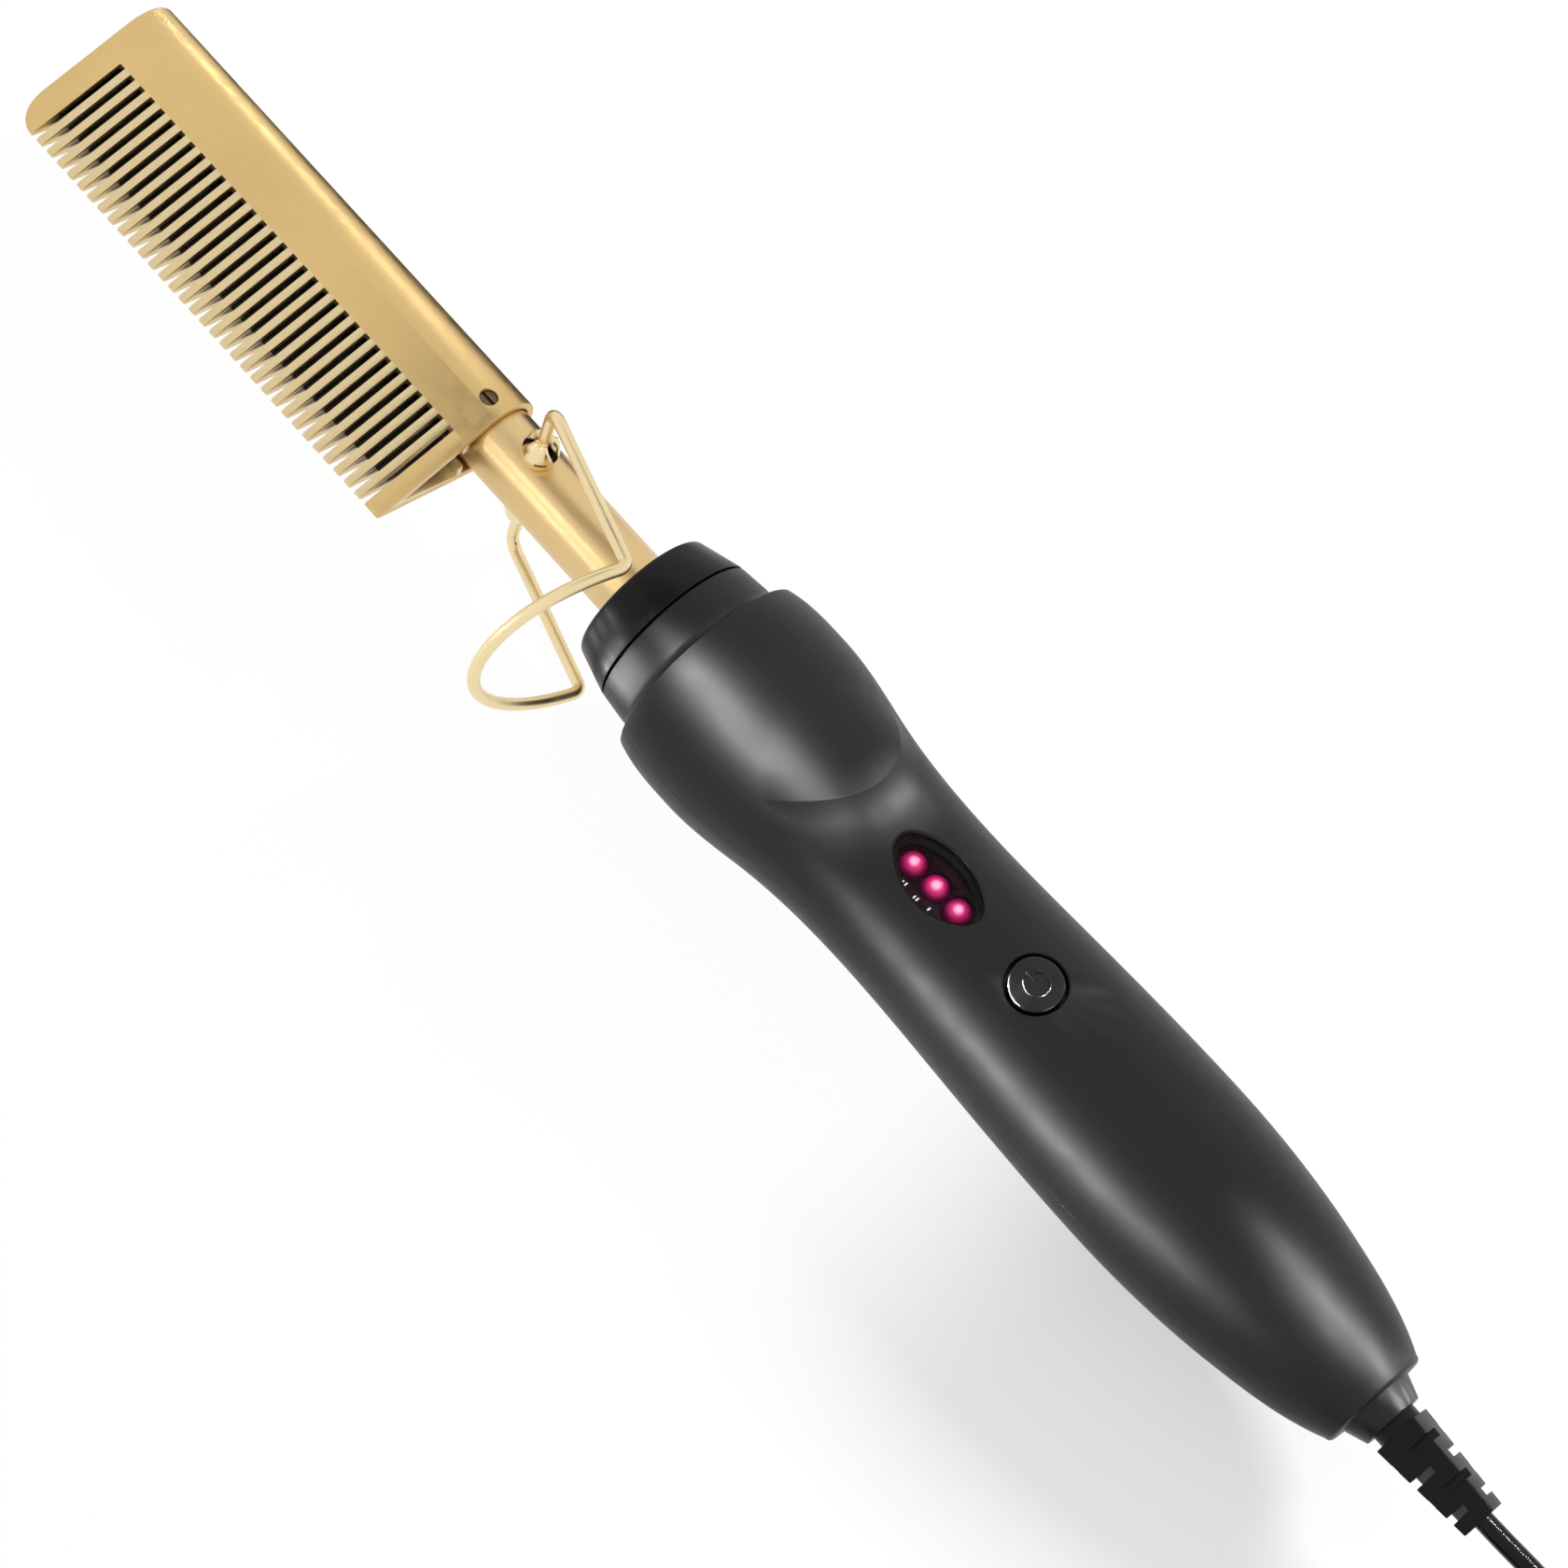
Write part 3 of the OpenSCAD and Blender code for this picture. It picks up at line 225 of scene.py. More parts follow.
def own_points(mesh):
    """A mesh's points in the comb's own frame, in millimetres."""
    return (gathered(mesh.vertices, "co", 3).astype(float) - ORIGIN) * 1000


def gathered(items, key, width=1, kind=np.float32):
    """One property of all items as an array."""
    found = np.empty(len(items) * width, dtype=kind)
    items.foreach_get(key, found)
    return found.reshape(-1, width) if width > 1 else found


def turned(points):
    """The controls' own frame, turned about the handle's axis, as the comb's frame."""
    points = np.asarray(points, float)
    c, s = math.cos(CONTROLS_TURN), math.sin(CONTROLS_TURN)
    x, y, z = points[..., 0], points[..., 1], points[..., 2]
    return np.stack([x, y * c - z * s, y * s + z * c], axis=-1)


def arc(cx, cy, r, a0, a1, steps):
    """Points of an arc in degrees, both ends included."""
    angles = np.radians(np.linspace(a0, a1, steps + 1))
    return [(cx + r * math.cos(a), cy + r * math.sin(a)) for a in angles]


def hoop(x, r, steps=40, y=0.0, z=0.0):
    """A ring of points about an axis along x."""
    return [(x, y + r * math.cos(a), z + r * math.sin(a))
            for a in np.linspace(0, 2 * math.pi, steps, endpoint=False)]


def tinted(shade, share):
    return tuple(v * share for v in shade)


class Shape:
    """Closed skins gathered into one mesh, in millimetres."""

    def __init__(self):
        self.points, self.faces = [], []

    def rings(self, rings, closed=False, caps=True):
        """Joins rings with the same number of points; closed also joins the last to the first."""
        start, n = len(self.points), len(rings[0])
        for ring in rings:
            self.points.extend(np.asarray(ring, float).tolist())
        total = len(rings)
        for i in range(total if closed else total - 1):
            a, b = start + i * n, start + (i + 1) % total * n
            self.faces += [(a + k, a + (k + 1) % n, b + (k + 1) % n, b + k) for k in range(n)]
        if caps and not closed:
            self.faces.append(tuple(start + k for k in range(n)))
            self.faces.append(tuple(start + (total - 1) * n + k for k in range(n)))
        return self

    def spun_x(self, profile, steps=96, closed=True):
        """Turns a closed profile of (x, radius) about the handle's axis."""
        return self.rings([hoop(x, r, steps) for x, r in profile], closed=closed)

    def spun_z(self, profile, centre=(0, 0), steps=64, closed=False, bend=None):
        """Turns a profile of (radius, z) about an upright axis; bend may move each point."""
        angles = np.linspace(0, 2 * math.pi, steps, endpoint=False)
        rings = []
        for r, z in profile:
            ring = [(centre[0] + r * math.cos(a), centre[1] + r * math.sin(a), z) for a in angles]
            rings.append([bend(p, a) for p, a in zip(ring, angles)] if bend else ring)
        return self.rings(rings, closed=closed)

    def moved(self, change):
        """Passes all points through a function of an array."""
        self.points = change(np.array(self.points)).tolist()
        return self

    def mesh(self, name, place=placed):
        mesh = bpy.data.meshes.new(name)
        mesh.from_pydata(place(self.points).tolist(), [], self.faces)
        work = bmesh.new()
        work.from_mesh(mesh)
        bmesh.ops.remove_doubles(work, verts=work.verts, dist=2e-7)
        bmesh.ops.dissolve_degenerate(work, edges=work.edges, dist=1e-8)
        bmesh.ops.recalc_face_normals(work, faces=work.faces)
        work.to_mesh(mesh)
        work.free()
        mesh.validate()
        return mesh

    def object(self, name, sharp=38, place=placed):
        return piece(name, self.mesh(name, place), sharp)


def shade(mesh, sharp):
    mesh.polygons.foreach_set("use_smooth", [True] * len(mesh.polygons))
    mesh.set_sharp_from_angle(angle=math.radians(sharp))
    mesh.update()


def piece(name, mesh, sharp=38):
    """A new object for a mesh, at the origin, unturned and unscaled."""
    shade(mesh, sharp)
    made = bpy.data.objects.new(name, mesh)
    bpy.context.scene.collection.objects.link(made)
    return made


def dropped(*objects):
    for made in objects:
        bpy.data.objects.remove(made, do_unlink=True)


def baked(made):
    """The object with its modifiers made part of a plain mesh."""
    bpy.context.view_layer.update()
    graph = bpy.context.evaluated_depsgraph_get()
    mesh = bpy.data.meshes.new_from_object(made.evaluated_get(graph), depsgraph=graph)
    made.modifiers.clear()
    made.data = mesh
    return made


def cut(made, *cutters):
    """Takes closed cutters away from an object."""
    for cutter in cutters:
        step = made.modifiers.new("cut", "BOOLEAN")
        step.operation, step.solver, step.object = "DIFFERENCE", "EXACT", cutter
    baked(made)
    dropped(*cutters)
    return made


def joined(name, *objects, sharp=38):
    """Several objects as one, with their materials."""
    work, materials = bmesh.new(), []
    for made in objects:
        first = len(work.faces)
        work.from_mesh(made.data)
        work.faces.ensure_lookup_table()
        slots = list(made.data.materials) or [None]
        for material in slots:
            if material not in materials:
                materials.append(material)
        for face in work.faces[first:]:
            face.material_index = materials.index(slots[min(face.material_index, len(slots) - 1)])
    mesh = bpy.data.meshes.new(name)
    work.to_mesh(mesh)
    work.free()
    for material in materials:
        if material:
            mesh.materials.append(material)
    dropped(*objects)
    return piece(name, mesh, sharp)


def finished(made, material, body, slot, *replaced):
    """Gives a piece its finish, its body and the solids that it stands for."""
    if material:
        made.data.materials.clear()
        made.data.materials.append(material)
    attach(made, body)
    if replaced:
        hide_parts(*replaced)
    return made


# ---- Geometry node trees --------------------------------------------------------


def tree(name, inputs, build):
    """A geometry tree with named inputs. What build makes is realized and gets the material."""
    group = bpy.data.node_groups.new(name, "GeometryNodeTree")
    sockets = {"Geometry": "NodeSocketGeometry", **inputs, "Material": "NodeSocketMaterial"}
    for key, kind in sockets.items():
        group.interface.new_socket(key, in_out="INPUT", socket_type=kind)
    group.interface.new_socket("Geometry", in_out="OUTPUT", socket_type="NodeSocketGeometry")
    new, link = group.nodes.new, group.links.new
    given = new("NodeGroupInput").outputs
    real = new("GeometryNodeRealizeInstances")
    paint = new("GeometryNodeSetMaterial")
    link(build(new, link, given), real.inputs["Geometry"])
    link(real.outputs["Geometry"], paint.inputs["Geometry"])
    link(given["Material"], paint.inputs["Material"])
    link(paint.outputs["Geometry"], new("NodeGroupOutput").inputs["Geometry"])
    return group


def copies_in_row(new, link, given):
    """Copies of a piece along a straight row."""
    line = new("GeometryNodeMeshLine")
    copies = new("GeometryNodeInstanceOnPoints")
    link(given["Count"], line.inputs["Count"])
    link(given["Step"], line.inputs["Offset"])
    link(line.outputs["Mesh"], copies.inputs["Points"])
    link(given["Geometry"], copies.inputs["Instance"])
    return copies.outputs["Instances"]


def rod_along_line(new, link, given):
    """A round rod along a line of edges."""
    path = new("GeometryNodeMeshToCurve")
    circle = new("GeometryNodeCurvePrimitiveCircle")
    sweep = new("GeometryNodeCurveToMesh")
    sweep.inputs["Fill Caps"].default_value = True
    link(given["Geometry"], path.inputs["Mesh"])
    link(given["Radius"], circle.inputs["Radius"])
    link(given["Sides"], circle.inputs["Resolution"])
    link(path.outputs["Curve"], sweep.inputs["Curve"])
    link(circle.outputs["Curve"], sweep.inputs["Profile Curve"])
    return sweep.outputs["Mesh"]


TREES = {
    "Row": ({"Count": "NodeSocketInt", "Step": "NodeSocketVector"}, copies_in_row),
    "Rod": ({"Radius": "NodeSocketFloat", "Sides": "NodeSocketInt"}, rod_along_line),
}


def grown(made, name, **values):
    """Runs a geometry tree on an object and keeps the result as its mesh."""
    group = bpy.data.node_groups.get(name) or tree(name, *TREES[name])
    step = made.modifiers.new(name, "NODES")
    step.node_group = group
    for item in group.interface.items_tree:
        if item.in_out == "INPUT" and item.name in values:
            step[item.identifier] = values[item.name]
    baked(made)
    return made


def rod(name, lines, radius, material, sides=20, place=placed):
    """Round rods along lines of points in millimetres."""
    points, edges = [], []
    for line in lines:
        edges += [(len(points) + i, len(points) + i + 1) for i in range(len(line) - 1)]
        points += [tuple(p) for p in line]
    mesh = bpy.data.meshes.new(name)
    mesh.from_pydata(place(points).tolist(), edges, [])
    made = bpy.data.objects.new(name, mesh)
    bpy.context.scene.collection.objects.link(made)
    grown(made, "Rod", Radius=radius / 1000, Sides=sides, Material=material)
    shade(made.data, 50)
    return made


def row(made, number, step, material):
    """Repeats a piece along a row; step is in millimetres."""
    grown(made, "Row", Count=number, Step=tuple(v / 1000 for v in step), Material=material)
    shade(made.data, 38)
    return made


# ---- Finishes -------------------------------------------------------------------


class Nodes:
    """The nodes of a material or a world under construction."""

    def __init__(self, owner):
        owner.use_nodes = True
        self.tree = owner.node_tree
        self.tree.nodes.clear()

    def set(self, socket, value):
        if isinstance(value, bpy.types.NodeSocket):
            self.tree.links.new(value, socket)
        elif isinstance(value, (tuple, list)) and len(value) == 3 and socket.type == "RGBA":
            socket.default_value = (*value, 1)
        else:
            socket.default_value = value

    def node(self, kind, options=None, **inputs):
        made = self.tree.nodes.new(kind)
        for key, value in (options or {}).items():
            setattr(made, key, value)
        for key, value in inputs.items():
            self.set(made.inputs[key.replace("_", " ")], value)
        return made

    def listed(self, kind, *values):
        """A node whose first inputs are set in their order."""
        made = self.node(kind)
        for socket, value in zip(made.inputs, values):
            self.set(socket, value)
        return made.outputs[0]

    def span(self, value, low, high, to_low=0.0, to_high=1.0, kind="SMOOTHSTEP"):
        return self.node(
            "ShaderNodeMapRange", {"interpolation_type": kind}, Value=value, From_Min=low,
            From_Max=high, To_Min=to_low, To_Max=to_high,
        ).outputs[0]

    def seen_level(self, lit, seen):
        """One strength for light that falls on things, another for what eye, gloss and glass see."""
        rays = self.node("ShaderNodeLightPath").outputs
        level = rays["Is Camera Ray"]
        for name in ("Is Glossy Ray", "Is Transmission Ray"):
            level = self.math("MAXIMUM", level, rays[name])
        return self.span(level, 0.0, 1.0, lit, seen, "LINEAR")

    def math(self, operation, a, b=0.0):
        made = self.tree.nodes.new("ShaderNodeMath")
        made.operation = operation
        self.set(made.inputs[0], a)
        self.set(made.inputs[1], b)
        return made.outputs[0]


class Finish(Nodes):
    """A material under construction, read in the object's own coordinates."""

    def __init__(self, name, **constants):
        self.material = bpy.data.materials.new(name)
        super().__init__(self.material)
        self.shader = self.node("ShaderNodeBsdfPrincipled", **constants)
        self.out = self.node("ShaderNodeOutputMaterial", Surface=self.shader.outputs[0])
        self.place = self.node("ShaderNodeTexCoord").outputs["Object"]

    def noise(self, scale, detail=2.0, stretch=None, rough=0.5):
        where = self.place
        if stretch:
            where = self.node("ShaderNodeMapping", Vector=where, Scale=stretch).outputs[0]
        return self.node(
            "ShaderNodeTexNoise", Vector=where, Scale=scale, Detail=detail, Roughness=rough
        ).outputs[0]

    def mix(self, share, a, b):
        made = self.tree.nodes.new("ShaderNodeMix")
        made.data_type = "RGBA"
        for index, value in ((0, share), (6, a), (7, b)):
            self.set(made.inputs[index], value)
        return made.outputs[2]

    def axes(self):
        parts = self.node("ShaderNodeSeparateXYZ", Vector=self.place).outputs
        return parts[0], parts[1], parts[2]

    def colour(self, a, b=None, scale=60.0, detail=3.0, low=0.35, high=0.65):
        """Base colour, wandering between two shades."""
        b = b or tinted(a, 0.86)
        shade = self.mix(self.span(self.noise(scale, detail), low, high), a, b)
        self.set(self.shader.inputs["Base Color"], shade)
        return shade

    def rough(self, low, high, scale=400.0, stretch=None):
        value = self.span(self.noise(scale, 2.0, stretch), 0.3, 0.7, low, high)
        self.set(self.shader.inputs["Roughness"], value)

    def bump(self, scale, depth, strength=0.4, detail=2.0, stretch=None):
        """Fine relief; depth is in millimetres."""
        made = self.node(
            "ShaderNodeBump", Strength=strength, Distance=depth / 1000,
            Height=self.noise(scale, detail, stretch),
        )
        self.set(self.shader.inputs["Normal"], made.outputs[0])


def simple_finish(name, shade, second=None, rough=(0.35, 0.5), bump=(1800, 0.01), scale=80.0, **more):
    made = Finish(name, **more)
    made.colour(shade, second, scale)
    made.rough(*rough)
    made.bump(*bump)
    return made.material


def gold_head_finish(f, h):
    """Satin anodised gold, paler on the sawn teeth. Inside it is unplated pale metal at the near end, and
    dark with painted shade in the hollow and deep in the slots.
    """
    made = Finish("satin_gold", Metallic=1.0)
    shade = made.mix(made.span(made.noise(45, 3.0), 0.3, 0.7), f.gold, tinted(f.gold, 0.93))
    x, y, z = made.axes()
    x, y, z = (made.math("SUBTRACT", v, float(at)) for v, at in zip((x, y, z), ORIGIN))
    sawn = made.span(y, (-h.root - 0.1) / 1000, (0.2 - h.root) / 1000, 1.0, 0.0)
    first = -h.near - h.first + h.slot / 2
    last = first - h.pitch * (h.slots - 1) - h.slot
    for end, side in ((first, 1), (last, -1)):
        sawn = made.math("MULTIPLY", sawn, made.span(
            x, (end - 0.15) / 1000, (end + 0.15) / 1000, 0.5 + side / 2, 0.5 - side / 2))
    grain = made.span(made.noise(900, 2.0, (8.0, 0.6, 0.6)), 0.3, 0.7, 0.55, 1.0)
    shade = made.mix(made.math("MULTIPLY", sawn, grain), shade, f.pale_gold)
    # Depth under the outer skin: under the flanks, and under the round spine. Deeper than about a millimetre
    # the surface takes the inside colour
    wedge, high = head_wedge(h), made.math("ABSOLUTE", z)
    flank = made.math("SUBTRACT", made.math("MULTIPLY", high, math.cos(wedge)),
                      made.math("MULTIPLY", y, math.sin(wedge)))
    level = made.math("SQRT", made.math("ADD", made.math("MULTIPLY", y, y), made.math("MULTIPLY", z, z)))
    side = made.span(y, -0.0025, -0.0015, 1.0, 0.0)
    level = made.math("ADD", made.math("MULTIPLY", side, flank),
                      made.math("MULTIPLY", made.math("SUBTRACT", 1.0, side), level))
    # Painted shade on the slots' walls and in the hollow, by depth under the skin
    deep_shade = made.span(level, (h.spine - 1.5) / 1000, (h.spine - 1.0) / 1000, 1.0, 0.0)
    # From the first slot on, the inside colour is the dark of painted shade; ahead of it, unplated pale metal
    slot_shade = made.span(x, (first - 1.5) / 1000, (first + 0.8) / 1000, 1.0, 0.0)
    inside = made.mix(slot_shade, tuple(v ** 0.8 for v in f.pale_gold), f.hollow)
    shade = made.mix(deep_shade, shade, inside)
    made.set(made.shader.inputs["Base Color"], shade)
    made.set(made.shader.inputs["Roughness"], made.span(made.noise(500, 2.0), 0.3, 0.7, 0.34, 0.42))
    made.bump(5200, 0.004, 0.3)
    return made.material


def polished_gold_finish(f):
    """Gold with fine lines along the shank."""
    made = Finish("polished_gold", Metallic=1.0)
    made.colour(f.tube_gold, tinted(f.tube_gold, 0.9), 30)
    made.rough(0.3, 0.34, 700, (0.08, 1, 1))
    made.bump(2500, 0.0003, 0.2, stretch=(0.05, 1, 1))
    return made.material


def crimped_gold_finish(f):
    """Gold with painted shade, dark where the attribute crease is high: the crimp's creases and a slit."""
    made = Finish("crimped_gold", Metallic=1.0)
    crease = made.node("ShaderNodeAttribute", {"attribute_name": "crease"}).outputs["Fac"]
    made.set(made.shader.inputs["Base Color"],
             made.mix(made.span(crease, 0.12, 0.5), f.wire_gold, f.hollow))
    made.rough(0.26, 0.32)
    made.bump(2500, 0.001)
    return made.material


def lamp_finish(f):
    """Glowing lamp: its core is brightest under the top of the dome."""
    made = Finish("lit_lamp", Roughness=0.12, IOR=1.5)
    glow = made.node("ShaderNodeAttribute", {"attribute_name": "glow"}).outputs["Fac"]
    body = made.mix(made.span(glow, 0.02, 0.5), tinted(f.lamp, 0.12), f.lamp)
    light = made.mix(made.span(glow, 0.52, 0.92), body, f.lamp_core)
    grain = made.span(made.noise(2500, 2.0), 0.3, 0.7, 0.9, 1.0)
    made.set(made.shader.inputs["Base Color"], body)
    made.set(made.shader.inputs["Emission Color"], light)
    power = made.math("MULTIPLY", made.span(glow, 0.0, 0.7, 0.4, 1.3), grain)
    made.set(made.shader.inputs["Emission Strength"], power)
    return made.material


def lens_finish():
    """Smoky clear plastic."""
    made = Finish("smoky_lens", IOR=1.12, Transmission_Weight=1.0)
    made.colour((0.80, 0.74, 0.77), (0.74, 0.69, 0.72), 150)
    made.set(made.shader.inputs["Roughness"], made.span(made.noise(300, 2.0), 0.3, 0.7, 0.02, 0.06))
    return made.material


# Finishes of the solids that stay as they are: name, colour, metal, roughness, relief
INNER = {
    "lock_screw": ("oiled_screw", (0.16, 0.11, 0.06), 1.0, (0.3, 0.45), (3000, 0.01)),
    "heater_core": ("heater_ceramic", (0.78, 0.76, 0.70), 0.0, (0.5, 0.65), (1500, 0.01)),
    "heater_film": ("amber_film", (0.62, 0.27, 0.05), 0.0, (0.15, 0.25), (900, 0.004)),
    "heat_bars": ("drawn_aluminium", (0.66, 0.67, 0.68), 1.0, (0.35, 0.5), (2500, 0.01)),
    "temperature_sensor": ("sensor_glass", (0.34, 0.20, 0.10), 0.0, (0.08, 0.15), (600, 0.002)),
    "heater_leads": ("white_silicone", (0.72, 0.71, 0.68), 0.0, (0.5, 0.6), (1200, 0.006)),
    "tube_bush": ("brown_phenolic", (0.13, 0.045, 0.02), 0.0, (0.4, 0.55), (1600, 0.015)),
    "tube_clip": ("spring_steel", (0.50, 0.51, 0.53), 1.0, (0.25, 0.4), (2600, 0.006)),
    "handle_screws": ("zinc_screws", (0.42, 0.43, 0.45), 1.0, (0.3, 0.45), (2600, 0.008)),
    "circuit_board": ("black_solder_mask", (0.006, 0.007, 0.007), 0.0, (0.3, 0.4), (900, 0.006)),
    "board_parts": ("board_parts", (0.45, 0.24, 0.05), 0.0, (0.35, 0.5), (900, 0.01)),
    "switch_body": ("switch_black", (0.012, 0.012, 0.013), 0.0, (0.35, 0.45), (1500, 0.01)),
    "switch_plunger": ("switch_white", (0.66, 0.66, 0.64), 0.0, (0.35, 0.45), (1500, 0.008)),
    "contact_rings": ("turned_brass", (0.72, 0.50, 0.20), 1.0, (0.18, 0.3), (2400, 0.004)),
    "brush_holder": ("holder_black", (0.02, 0.02, 0.021), 0.0, (0.45, 0.55), (1500, 0.012)),
    "brush_springs": ("spring_bronze", (0.62, 0.38, 0.18), 1.0, (0.2, 0.32), (2400, 0.004)),
    "mains_leads": ("brown_insulation", (0.10, 0.035, 0.015), 0.0, (0.4, 0.5), (1200, 0.006)),
}


# ---- Outlines shared by several pieces --------------------------------------------

SCREW_XS = (46.0, 138.0)


def flank(offset, y, spine, wedge):
    """Half thickness of the wedge at y, with its skin moved inwards by offset."""
    return (spine - offset + y * math.sin(wedge)) / math.cos(wedge)


def head_wedge(h):
    return math.asin((h.spine - h.tip) / (h.reach - h.tip))


def channel_section(h, inset, steps=26):
    """Section of the spine above the slots: outer skin, lips of the ledges, round channel."""
    wedge, inner = head_wedge(h), math.asin(h.channel / h.apex)
    low, lip, gap = -h.root + inset, -h.root + h.ledge - inset, h.ledge_gap / 2 + inset
    turn = math.degrees(wedge)
    outer = arc(0, 0, h.spine - inset, 90 + turn, -90 - turn, 2 * steps)
    turn = math.degrees(inner)
    bore = arc(0, 0, h.channel + inset, -90 - turn, 90 + turn, 2 * steps)
    z_out = flank(inset, low, h.spine, wedge)
    z_in = flank(-inset, lip, h.channel, inner)
    return ([(low, z_out)] + outer + [(low, -z_out), (low, -gap), (lip, -gap), (lip, -z_in)]
            + bore + [(lip, z_in), (lip, gap), (low, gap)])


def tooth_section(h, inset, steps=8):
    """Section of a tooth: a folded wedge with a hollow that ends above its tip."""
    wedge, inner = head_wedge(h), math.asin(h.channel / h.apex)
    turn = math.degrees(wedge)
    tip = arc(-h.reach + h.tip, 0, max(h.tip - inset, 0.05), -90 - turn, -270 + turn, steps)
    z_out, z_in = flank(inset, -h.root, h.spine, wedge), flank(-inset, -h.root, h.channel, inner)
    apex = -(h.channel + inset) / math.sin(inner)
    return ([(-h.root, z_out), (-h.root, z_in), (apex, 0.02), (apex, -0.02), (-h.root, -z_in),
             (-h.root, -z_out)] + tip)


def block_section(h, inset, tip_y, steps=8):
    """Section of the closed far block, its tip at tip_y."""
    wedge = head_wedge(h)
    s = math.sin(wedge)
    r = (h.tip + (tip_y + h.reach - h.tip) * s) / (1 - s)
    turn = math.degrees(wedge)
    tip = arc(tip_y + r, 0, max(r - inset, 0.05), -90 - turn, -270 + turn, steps)
    z = flank(inset, -h.root, h.spine, wedge)
    return [(-h.root, z), (-h.root, -z)] + tip


def rounded(radius, steps=3):
    """Pairs of (distance from the end, inset) round an edge, from the end inwards."""
    return [(radius * (1 - math.sin(a)), radius * (1 - math.cos(a)))
            for a in np.radians(np.linspace(90, 0, steps + 1))]


def dip(radius, depth):
    """How far an edge of a radius has fallen back at a depth into the rounding."""
    return radius - math.sqrt(max(radius * radius - max(depth, 0) ** 2, 0))


def section_at(x, section):
    return [(x, y, z) for y, z in section]


def toothed_bar(h, x0, x1, steps=2):
    """A tooth from x0 down to x1 with rounded edges at both ends."""
    near = [(x0 - d, i) for d, i in rounded(h.bevel, steps)]
    far = [(x1 + d, i) for d, i in reversed(rounded(h.bevel, steps))]
    return Shape().rings([section_at(x, tooth_section(h, i)) for x, i in near + far])


def handle_stations(s):
    long, waist_x = s.long, 63.0
    return [(15.2, 17.0, 0.30), (26.5, s.crown, 0.0), (40.0, 16.4, -0.185), (waist_x, s.waist, 0.0),
            (88.0, s.waist + 0.82, 0.042), (114.5, s.belly, 0.0), (long - 18.8, 13.75, -0.175),
            (long - 0.9, 8.9, -0.46)]


def cubic(a, b, x):
    """Cubic through two stations of (x, radius, slope)."""
    long = b[0] - a[0]
    t = (x - a[0]) / long
    return (a[1] * (2 * t**3 - 3 * t**2 + 1) + a[2] * long * (t**3 - 2 * t**2 + t)
            + b[1] * (3 * t**2 - 2 * t**3) + b[2] * long * (t**3 - t**2))


def handle_radius(s, x):
    """Radius of the handle at x, which may be an array."""
    stations, x = handle_stations(s), np.asarray(x, float)
    found = cubic(stations[0], stations[1], x)
    for a, b in zip(stations[1:], stations[2:]):
        found = np.where(x > a[0], cubic(a, b, x), found)
    return found


def hood_radius(s, x, turn):
    """Radius of the hood's swelling about the handle's axis."""
    start, end = 28.0, 53.8
    rho = cubic((start, float(handle_radius(s, start)) - s.hood_rise, -0.03),
                (end, float(handle_radius(s, 49.8)) + s.hood_step - s.hood_rise - 0.5, -0.12), x)
    side = s.hood_rise * np.cos(turn)
    return s.hood_rise * np.sin(turn) + np.sqrt(np.maximum(rho**2 - side**2, 1.0))


def hood_edge(turn):
    """Place of the hood's rear edge at an angle round the handle."""
    return 26.0 + 22.7 * max(math.sin(turn), 0) ** 1.15


def shell_radius(s, x, turn):
    """Outer radius of the upper shell: the hood blends in, ends in an edge and sweeps down."""
    base, edge = handle_radius(s, x), hood_edge(turn)
    on_hood = np.minimum(x, edge)
    over = hood_radius(s, on_hood, turn) - handle_radius(s, on_hood)
    soft = 0.5 * (over + np.sqrt(over**2 + 0.06)) - 0.5 * math.sqrt(0.06) * np.exp(-over**2)
    soft = np.maximum(soft, 0) * np.clip((on_hood - 26.5) / 6.0, 0, 1) ** 2
    return base + soft * np.clip(1 - (x - on_hood) / 6.5, 0, 1) ** 2


def oval(long, wide, end, grow=0.0, steps=12):
    """Four-arc oval as a ring of (x, y)."""
    a, b, e = long, wide, end
    side = ((a - e) ** 2 - (b - e) ** 2) / (2 * (b - e))
    meet = math.degrees(math.atan2(side, a - e))
    ends = arc(a - e, 0, e + grow, -meet, meet, steps)
    top = arc(0, -side, b + side + grow, meet, 180 - meet, 2 * steps)
    rest = arc(-(a - e), 0, e + grow, 180 - meet, 180 + meet, steps)
    low = arc(0, side, b + side + grow, 180 + meet, 360 - meet, 2 * steps)
    return ends[:-1] + top[:-1] + rest[:-1] + low[:-1]


def window_at(s, grow=0.0):
    """Outline of the lamp window, grown all round."""
    ring = oval(s.window_long, s.window_wide, s.window_end, grow)
    return [(x + s.window_x, y) for x, y in ring]


def stacked(outline, levels, **options):
    """A skin through copies of an outline; levels are pairs of (growth, height)."""
    return Shape().rings([[(x, y, z) for x, y in outline(g)] for g, z in levels], **options)


# ---- Operators --------------------------------------------------------------------


# Two ways square to the camera's, along the comb and across it, and their shares in the
# picture's level way
SEEN_ALONG, SEEN_UP = Vector((0.9774, 0.0959, -0.1883)), Vector((0, 0.8910, 0.4540))
SLANT = (0.67334, 0.73933)


